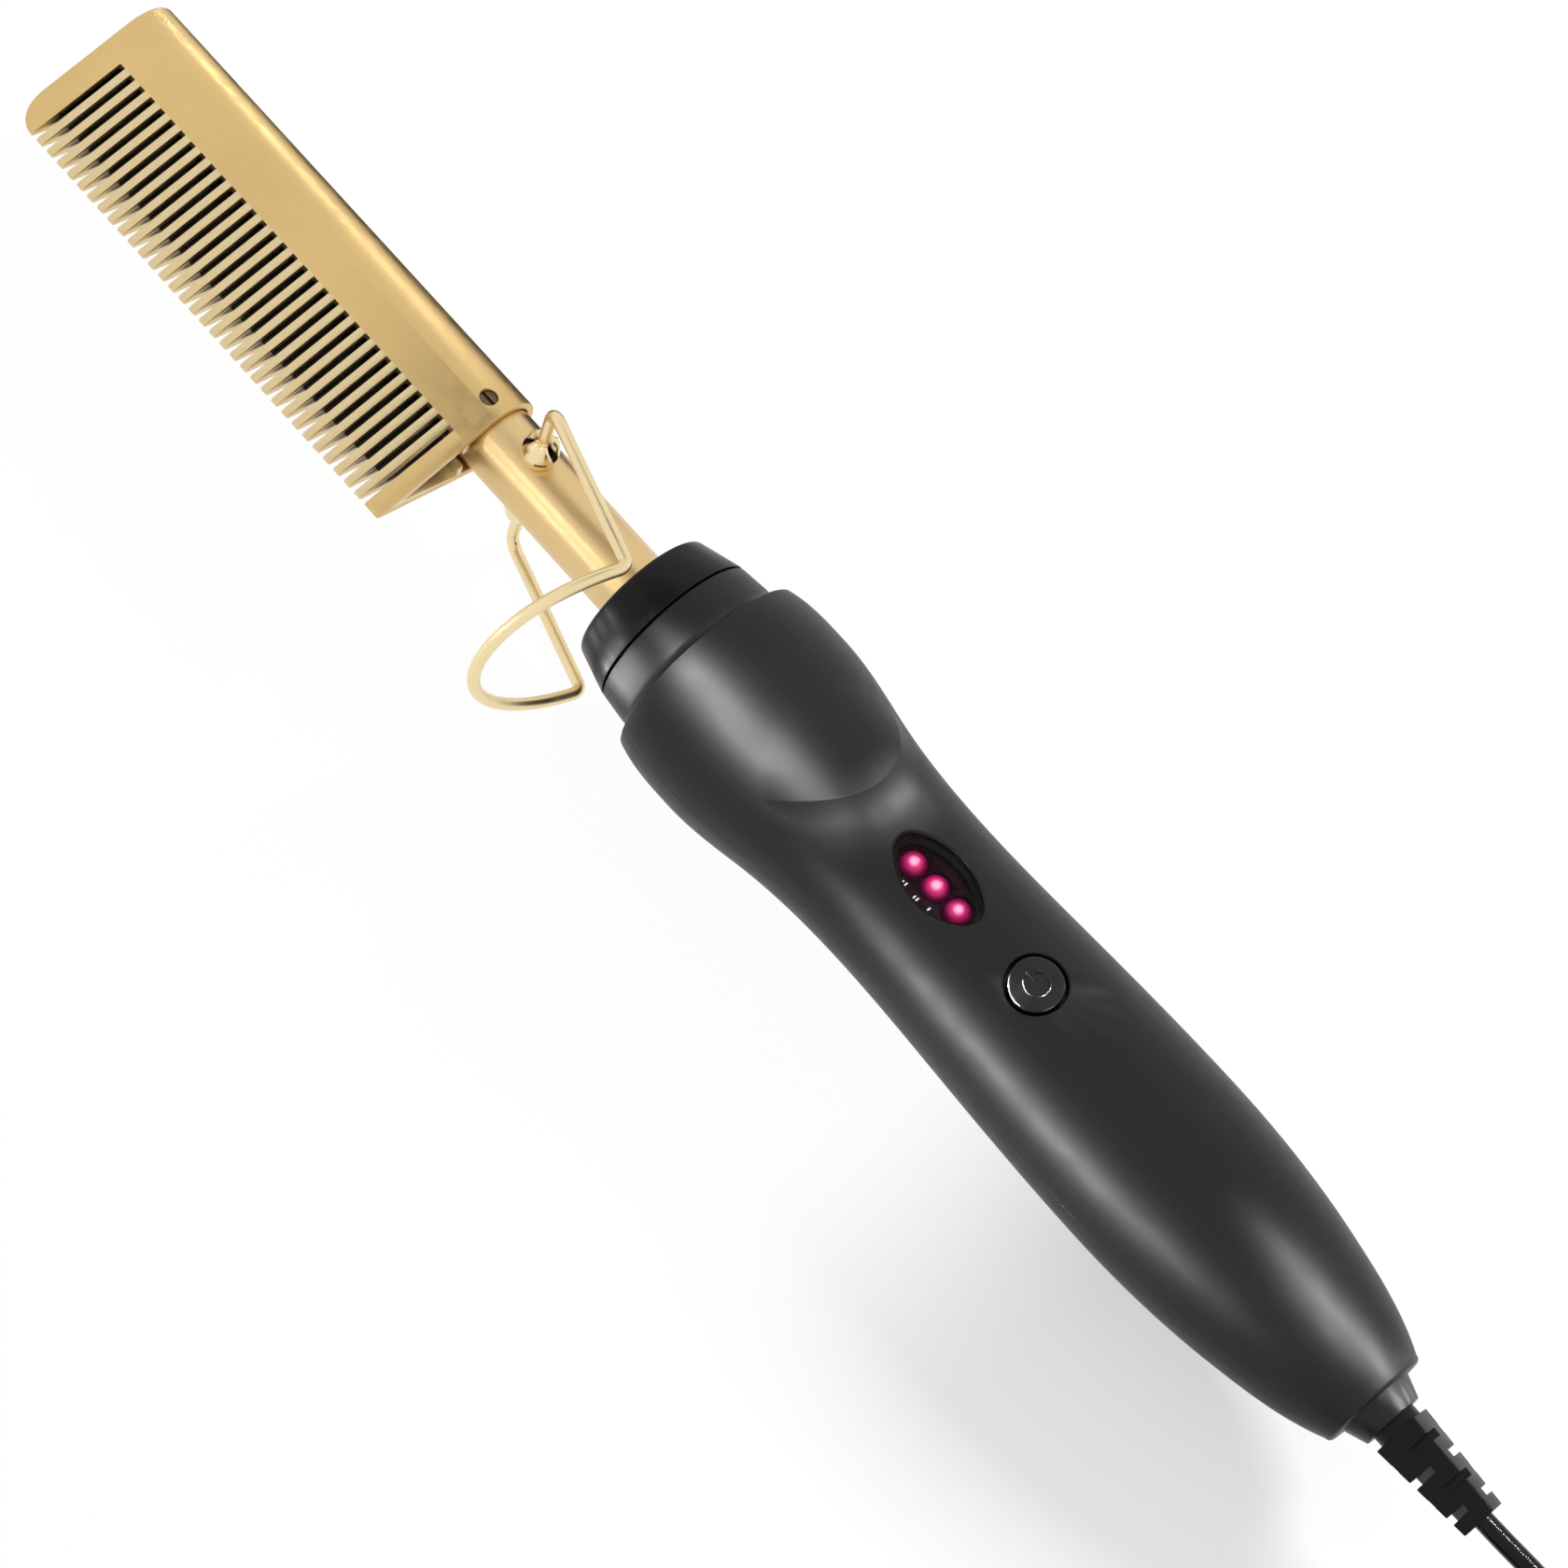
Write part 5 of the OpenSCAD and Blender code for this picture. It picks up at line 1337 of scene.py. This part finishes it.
class COMB_OT_swivel(bpy.types.Operator):
    """Make the swivel's cone and the slotted strain relief"""

    bl_idname = "comb.swivel"
    bl_label = "Swivel and Strain Relief"
    bl_options = {"REGISTER", "UNDO"}

    def execute(self, context):
        s, f = sizes(context, "comb_lead"), sizes(context, "comb_finish")
        satin = simple_finish("swivel_black", tinted(f.gloss_black, 1.5), None,
                              (0.32, 0.36), (4200, 0.001), IOR=1.5, Specular_IOR_Level=0.3)
        rubber = simple_finish("relief_rubber", f.rubber, tinted(f.rubber, 1.4),
                               (0.3, 0.38), (1300, 0.006), 200, IOR=1.5, Specular_IOR_Level=0.16)
        sleeve = Shape().spun_x(
            [(148.0, 2.2), (148.0, 3.6), (155.9, 3.6), (155.9, 7.4), (158.3, 7.4), (158.3, 6.25),
             (161.7, 6.25), (161.9, 6.23), (165.35, 5.02), (165.52, 4.95), (165.6, 4.82),
             (165.6, 3.73), (158.1, 3.73), (158.1, 2.2)], 96)
        finished(sleeve.object("swivel_cone", 32), satin, "swivel", "grey_sleeve", "swivel_sleeve")

        x0, long, slots, edge = 167.3, s.relief, 4, 0.14

        def square(x, inset, clip=None, side=None):
            """Rounded square on its corner, cut back to half thickness clip across one side."""
            half = s.relief_root + (s.relief_tip - s.relief_root) * (x - x0) / long - inset
            round_r, ring = 0.45, []
            reach = half - round_r * math.sqrt(2)
            for corner in (0, 90, 180, 270):
                a = math.radians(corner)
                ring += arc(reach * math.cos(a), reach * math.sin(a), round_r, corner - 45, corner + 45, 4)
            if clip:
                # Points beyond the cut slide down the square's sides to it
                fixed = []
                for y, z in ring:
                    if side == "z" and abs(z) > clip:
                        y = math.copysign(min(abs(y) + abs(z) - clip, half - clip), y) if y else 0
                        z = math.copysign(clip, z)
                    if side == "y" and abs(y) > clip:
                        z = math.copysign(min(abs(z) + abs(y) - clip, half - clip), z) if z else 0
                        y = math.copysign(clip, y)
                    fixed.append((y, z))
                ring = fixed
            return section_at(x, ring)

        relief = Shape()
        relief.spun_x([(158.2, 0.01), (158.2, 3.68), (x0 + 0.2, 3.68), (x0 + 0.2, 0.01)], 48, closed=False)
        starts = [x0] + [x0 + s.slot_pitch * n + s.slot / 2 for n in range(1, slots + 1)]
        stops = [x0 + s.slot_pitch * n - s.slot / 2 for n in range(1, slots + 1)] + [x0 + long]
        for k, (a, b) in enumerate(zip(starts, stops)):
            steps = [(a + d, i) for d, i in rounded(edge, 2)]
            steps += [(b - d, i) for d, i in reversed(rounded(edge, 2))]
            rings = [square(x, i) for x, i in steps]
            if k == slots:
                # The last block ends in the bore that the lead comes out of
                for x, r in ((b, 1.9), (b - 0.15, 1.72), (b - 6, 1.72)):
                    rings.append([(x, r * math.cos(a), r * math.sin(a))
                                  for a in np.radians(np.linspace(-36, 306, 20))])
            relief.rings(rings)
            if k < slots:
                side = "z" if k % 2 == 0 else "y"
                relief.rings([square(x, 0.05, 1.95, side) for x in (b - 0.1, starts[k + 1] + 0.1)])
        relief = relief.object("strain_relief_rubber", 32)
        finished(relief, rubber, "swivel", "black_rubber", "strain_relief")
        return {"FINISHED"}


class COMB_OT_plug(bpy.types.Operator):
    bl_idname = "comb.plug"
    bl_label = "Plug and Tie"
    bl_options = {"REGISTER", "UNDO"}

    def execute(self, context):
        s, f = sizes(context, "comb_lead"), sizes(context, "comb_finish")
        black = simple_finish("plug_black", tinted(f.rubber, 1.3), None, (0.4, 0.5),
                              (1600, 0.012), 200, IOR=1.5)
        nickel = simple_finish("nickel", f.nickel, None, (0.2, 0.3), (2600, 0.003), Metallic=1.0)
        face, y0, z0 = 156.0, -35.5, s.plug_thick / 2

        def section(x, wide, thick, corner):
            """Rounded rectangle across the plug."""
            ring = []
            for cy, cz, a in ((1, 1, 0), (-1, 1, 90), (-1, -1, 180), (1, -1, 270)):
                ring += arc(cy * (wide - corner), cz * (thick - corner), corner, a, a + 90, 5)
            return [(x, y0 + y, z0 + z) for y, z in ring]

        w, t = s.plug_wide / 2, s.plug_thick / 2
        stations = [(face, w - 0.5, t - 0.5, 3.4), (face + 0.15, w - 0.15, t - 0.15, 3.6),
                    (face + 0.6, w, t, 3.7), (face + 12.5, w, t, 3.7), (face + 14, w - 0.9, t - 0.02, 3.8),
                    (face + 17, w - 4.4, t - 0.25, 4.2), (face + 20, w - 7.7, t - 0.8, 4.4),
                    (face + 23, w - 10.2, t - 1.5, 4.3), (face + 26, 6.3, 4.75, 4.0),
                    (face + 27.6, 5.1, 4.4, 3.6), (face + 28.0, 4.7, 4.1, 3.3)]
        body = Shape().rings([section(*station) for station in stations])
        collar = [(face + 27, 0.1), (face + 27, 3.2), (face + 35.6, 3.2), (face + 36, 2.9), (face + 36, 1.72),
                  (face + 33, 1.72), (face + 33, 0.1)]
        body.rings([hoop(x, r, 40, y0, z0) for x, r in collar])
        sleeve = [(face + 0.5, 0.1), (face + 0.5, s.pin), (face - 9.8, s.pin), (face - 10, s.pin - 0.15),
                  (face - 10, 0.1)]
        for side in (-1, 1):
            body.rings([hoop(x, r, 40, y0 + side * s.pin_gap / 2, z0) for x, r in sleeve])
        body = body.object("plug_moulding", 32, on_floor)
        body.data.materials.append(black)
        ribs, levels = [], list(zip(*stations))
        for k in range(4):
            x = face + 15.5 + 2.1 * k
            here, thick = (np.interp(x, levels[0], levels[n]) for n in (1, 2))
            rib = Shape().rings([section(x + d, here - 0.9 * d + g, thick - 0.1 * d + g, 4.2)
                                 for d, g in ((-0.4, -0.2), (-0.2, 0.22), (0.3, 0.22), (0.5, -0.2))])
            ribs.append(rib.object("plug_rib", 32, on_floor))
            ribs[-1].data.materials.append(black)
        plug = joined("plug_body_moulded", body, *ribs, sharp=32)
        finished(plug, None, "handle", "plug_black", "plug_body")

        pins = Shape()
        tip = face - s.pin_long
        profile = [(face - 9.9, 0.05), (face - 9.9, s.pin)] + [
            (tip + 1.3 - 1.3 * math.sin(a), s.pin - 1.3 + 1.3 * math.cos(a))
            for a in np.radians(np.linspace(0, 90, 7))] + [(tip, 0.05)]
        for side in (-1, 1):
            pins.rings([hoop(x, r, 48, y0 + side * s.pin_gap / 2, z0) for x, r in profile])
        pins = pins.object("plug_pins_nickel", 32, on_floor)
        finished(pins, nickel, "handle", "pin_nickel", "plug_pins")

        half, high = (LAYER_TURNS + 1) * s.diameter / 2, s.layers * s.diameter
        centre = (COIL_CENTRE[0] + s.coil / 2, COIL_CENTRE[1])
        tie_t, tie_w, play = 0.5, 6.0, 0.5

        def band(grow, y, steps=6):
            """Rounded rectangle round the turns, seen along the coil."""
            out_w, low, top = half + play + grow, tie_t - grow, high + tie_t + 0.2 + grow
            corner = 1.2 + grow
            ring = []
            for cx, cz, a in ((1, 1, 0), (-1, 1, 90), (-1, -1, 180), (1, -1, 270)):
                z = top - corner if cz > 0 else low + corner
                ring += arc(cx * (out_w - corner), z, corner, a, a + 90, steps)
            return [(centre[0] + x, centre[1] + y, z) for x, z in ring]

        w2 = tie_w / 2
        corners = [(0, -w2 + 0.1), (0, w2 - 0.1), (0.1, w2), (tie_t - 0.1, w2), (tie_t, w2 - 0.1),
                   (tie_t, -w2 + 0.1), (tie_t - 0.1, -w2), (0.1, -w2)]
        tie = Shape().rings([band(*corner) for corner in corners], closed=True)
        tie = tie.object("coil_tie_band", 40, on_floor)
        finished(tie, black, "handle", "tie_black", "coil_tie")

        return {"FINISHED"}


class COMB_OT_inner(bpy.types.Operator):
    """Finish the parts inside the handle and the head"""

    bl_idname = "comb.inner"
    bl_label = "Inner Parts"
    bl_options = {"REGISTER", "UNDO"}

    def execute(self, context):
        for node, (name, shade_of, metallic, rough, bump) in INNER.items():
            material = simple_finish(name, shade_of, None, rough, bump, 150, Metallic=metallic)
            made = nodes[node]
            if not made.material_slots:
                made.data.materials.append(material)
            for slot in made.material_slots:
                slot.material = material
        return {"FINISHED"}


# Lamps that only gloss shows. Each hangs where a place on the comb mirrors the camera: name, the
# place's x and its angle round the axis, how far the lamp reaches round it, power in watts
GLINTS = [
    ("tube", -28, 128, 11, 0.22), ("tube", -22, 127, 12, 0.25), ("tube", -14, 128, 12, 0.25),
    ("tube", -6, 128, 11, 0.25), ("tube", -28, 139, 11, 0.2), ("tube", -22, 139, 12, 0.22),
    ("tube", -14, 139, 12, 0.22), ("tube", -6, 139, 11, 0.22), ("cap", 6, 142, 4, 4.0),
    ("cap", 5, 153, 5, 2.6), ("cap", 5, 164, 5, 1.6), ("neck", 10.5, 148, 4, 11.0),
    ("neck", 10.5, 158, 4, 13.0), ("neck", 10.5, 167, 4, 11.0),
    ("hood", 18, 124, 7, 34.0), ("hood", 26, 120, 11, 18.0), ("hood", 28, 128, 11, 18.0),
    ("hood", 40, 119, 10, 20.0), ("hood", 38, 127, 11, 18.0),
    ("step", 52, 78, 5, 12.0), ("step", 52.5, 89, 5, 17.0), ("step", 52.2, 101, 5, 13.0),
    ("belly", 64, 147, 15, 4.5), ("belly", 80, 149, 17, 9.5), ("belly", 95, 150, 17, 11.0),
    ("belly", 110, 149, 17, 10.5), ("belly", 125, 146, 15, 6.0), ("belly", 136, 142, 12, 2.5),
    ("butt", 141, 99, 9, 14.0), ("butt", 149, 96, 9, 18.0), ("butt", 151, 106, 9, 13.0),
    ("butt", 158, 93, 7, 30.0),
    ("spine", -48, 74, 10, 0.6), ("spine", -54, 73, 14, 0.6), ("spine", -67, 72, 14, 0.5),
    ("spine", -80, 71, 14, 0.45), ("spine", -93, 69, 14, 0.4), ("spine", -105, 67, 13, 0.35),
    ("spine", -116, 66, 12, 0.3), ("swivel", 163.5, 88, 5, 9.0), ("swivel", 163.5, 72, 5, 6.0),
    ("swivel", 163.5, 58, 5, 1.2),
]
# The same round the button's edge, by the angle on it in degrees, and along the lead
BUTTON_GLINTS, LEAD_GLINTS = (231, 244, 257, 270, -14, 2, 18, 34), range(3, 11)
# The farthest and the lowest that such a lamp hangs, in metres, and the least width of a spot
GLINT_FAR, GLINT_LOW, SPOT_LEAST = 0.5, 0.003, math.radians(1)
# Black cards that only gloss shows, by their corners
CARDS = [
    [(-49, -34, 100), (-22, -34, 100), (-22, 20, 100), (-49, 20, 100)],
    [(-150, 14, -20), (-34, 14, -20), (-34, 105, 8), (-150, 40, -15)],
]


class COMB_OT_stage(bpy.types.Operator):
    """Lay the pale floor and hang the lamps"""

    bl_idname = "comb.stage"
    bl_label = "Stage"
    bl_options = {"REGISTER", "UNDO"}

    def hang(self, name, kind, at, way, far, power, **settings):
        """Hangs a lamp that the camera doesn't see, facing a point from a way."""
        data = bpy.data.lights.new(name, kind)
        data.energy = power
        for key, value in settings.items():
            setattr(data, key, value)
        lamp = bpy.data.objects.new(name, data)
        lamp.matrix_world = (Matrix.Translation(at + way * far)
                             @ way.to_track_quat("Z", "Y").to_matrix().to_4x4())
        lamp.visible_camera = False
        lamp.visible_glossy = kind == "SPOT"
        bpy.context.scene.collection.objects.link(lamp)
        return lamp

    def glint(self, name, eye, at, out, reach, power):
        """Hangs a small spot over the floor where the place, facing out, mirrors the eye."""
        at, out = Vector(placed(at)), Vector(out).normalized()
        look = (eye - at).normalized()
        way = 2 * look.dot(out) * out - look
        reach /= 1000
        far = min(GLINT_FAR, reach / math.tan(SPOT_LEAST / 2))
        if way.z < 0:
            far = min(far, (at.z - GLINT_LOW) / -way.z)
        made = self.hang(name, "SPOT", at, way, far, power * (far / GLINT_FAR) ** 2, spot_blend=1.0,
                         shadow_soft_size=min(0.01, reach), spot_size=2 * math.atan(reach / far))
        made.visible_diffuse = False

    def execute(self, context):
        s = sizes(context, "comb_stage")
        mesh = bpy.data.meshes.new("floor")
        mesh.from_pydata([(-3, -3, 0), (3, -3, 0), (3, 3, 0), (-3, 3, 0)], [], [(0, 1, 2, 3)])
        floor = bpy.data.objects.new("floor", mesh)
        context.scene.collection.objects.link(floor)
        material = bpy.data.materials.new("studio_floor")
        ground = Nodes(material)
        matte = ground.node("ShaderNodeBsdfDiffuse", Color=s.floor).outputs[0]
        glow = ground.node("ShaderNodeEmission", Strength=ground.seen_level(0.0, 0.54)).outputs[0]
        plain = ground.listed("ShaderNodeAddShader", matte, glow)
        # Ahead of the belly the floor glows more and shades less
        bright = ground.node("ShaderNodeEmission", Strength=ground.seen_level(0.4, 1.0)).outputs[0]
        place = ground.node("ShaderNodeTexCoord").outputs["Object"]
        along = ground.node("ShaderNodeSeparateXYZ", Vector=place).outputs[0]
        share = ground.span(along, 0.045, 0.092, 0.92, 0.0)
        blend = ground.listed("ShaderNodeMixShader", share, plain, bright)
        ground.node("ShaderNodeOutputMaterial", Surface=blend)
        mesh.materials.append(material)

        context.scene.world = bpy.data.worlds.new("studio")
        sky = Nodes(context.scene.world)
        air = sky.node("ShaderNodeBackground", Color=(1, 1, 1), Strength=sky.seen_level(0.5, 1.0))
        sky.node("ShaderNodeOutputWorld", Surface=air.outputs[0])

        way = Vector((0.0, 0.74, 0.60)).normalized()
        self.hang("key", "AREA", Vector((0.01, 0.005, 0.02)), way, 1.1, s.key, shape="SQUARE", size=0.35)
        handle, shank, head = (sizes(context, "comb_" + key) for key in ("handle", "shank", "head"))
        eye = context.scene.camera.matrix_world.translation
        plain = {"tube": (shank.radius, 0), "spine": (head.spine, 0), "cap": (13.2, 0.25),
                 "neck": (14.4, 0.1), "swivel": (5.6, -0.34)}
        for name, x, turn, reach, power in GLINTS:
            turn = math.radians(turn)
            radius = float(handle_radius(handle, x))
            slope = float(handle_radius(handle, x + 0.1)) * 10 - radius * 10
            if name in plain:
                radius, slope = plain[name]
            bend = 0.0
            if name == "step":
                radius, ahead, aside = (float(shell_radius(handle, x + d, turn + e))
                                        for d, e in ((0, 0), (0.1, 0), (0, 0.01)))
                slope, bend = (ahead - radius) * 10, (aside - radius) * 100 / radius
            at = (x, radius * math.cos(turn), radius * math.sin(turn))
            out = (-slope, math.cos(turn) + bend * math.sin(turn),
                   math.sin(turn) - bend * math.cos(turn))
            self.glint(name, eye, at, out, reach, power * s.glint)
        level, rim = float(handle_radius(handle, handle.button_x)) - 0.1, handle.button - 0.5
        for turn in np.radians(BUTTON_GLINTS):
            at = (handle.button_x + rim * math.cos(turn), rim * math.sin(turn), level)
            out = (math.cos(turn), math.sin(turn), 1)
            at, out = turned([at, out])
            self.glint("button", eye, at, out, 1.0, 200.0 * s.glint)
        route = smooth_route(LEAD_ROUTE)
        for k in LEAD_GLINTS:
            along = (Vector(route[k + 1]) - Vector(route[k - 1])).normalized()
            at = route[k] - 1000 * ORIGIN
            self.glint("lead", eye, at, Vector((0, 0, 1)) - along * along.z, 3, 5.0 * s.glint)
        black = simple_finish("black_card", (0.002, 0.002, 0.002), None, (0.9, 1.0),
                              Specular_IOR_Level=0.0)
        for k, corners in enumerate(CARDS):
            card = Shape().rings([[(x, y, z + h) for x, y, z in corners] for h in (-0.2, 0.2)])
            card = card.object("card_%d" % k)
            card.data.materials.append(black)
            for kind in ("camera", "diffuse", "transmission", "shadow"):
                setattr(card, "visible_" + kind, False)
        context.scene.view_settings.view_transform = "Standard"
        return {"FINISHED"}


OPERATORS = (
    COMB_OT_camera, COMB_OT_lead, COMB_OT_head, COMB_OT_shank, COMB_OT_rest, COMB_OT_cap,
    COMB_OT_handle, COMB_OT_window, COMB_OT_button, COMB_OT_swivel, COMB_OT_plug, COMB_OT_inner,
    COMB_OT_stage,
)


class COMB_PT_panel(bpy.types.Panel):
    """Lists the comb's pieces and sizes"""

    bl_label = "Heated Comb"
    bl_idname = "COMB_PT_panel"
    bl_space_type = "VIEW_3D"
    bl_region_type = "UI"
    bl_category = "Comb"

    def draw(self, context):
        for operator in OPERATORS:
            self.layout.operator(operator.bl_idname)
        for group in GROUPS:
            box = self.layout.box()
            values = getattr(context.scene, group)
            for key in values.bl_rna.properties.keys():
                if key not in ("rna_type", "name"):
                    box.prop(values, key)


def register():
    for kind in (*GROUPS.values(), *OPERATORS, COMB_PT_panel):
        bpy.utils.register_class(kind)
    for name, kind in GROUPS.items():
        setattr(bpy.types.Scene, name, PointerProperty(type=kind))


def unregister():
    for name in GROUPS:
        delattr(bpy.types.Scene, name)
    for kind in reversed((*GROUPS.values(), *OPERATORS, COMB_PT_panel)):
        bpy.utils.unregister_class(kind)


def main():
    register()
    for operator in OPERATORS:
        area, name = operator.bl_idname.split(".")
        getattr(getattr(bpy.ops, area), name)()
    bpy.context.view_layer.update()


if __name__ == "__main__":
    main()
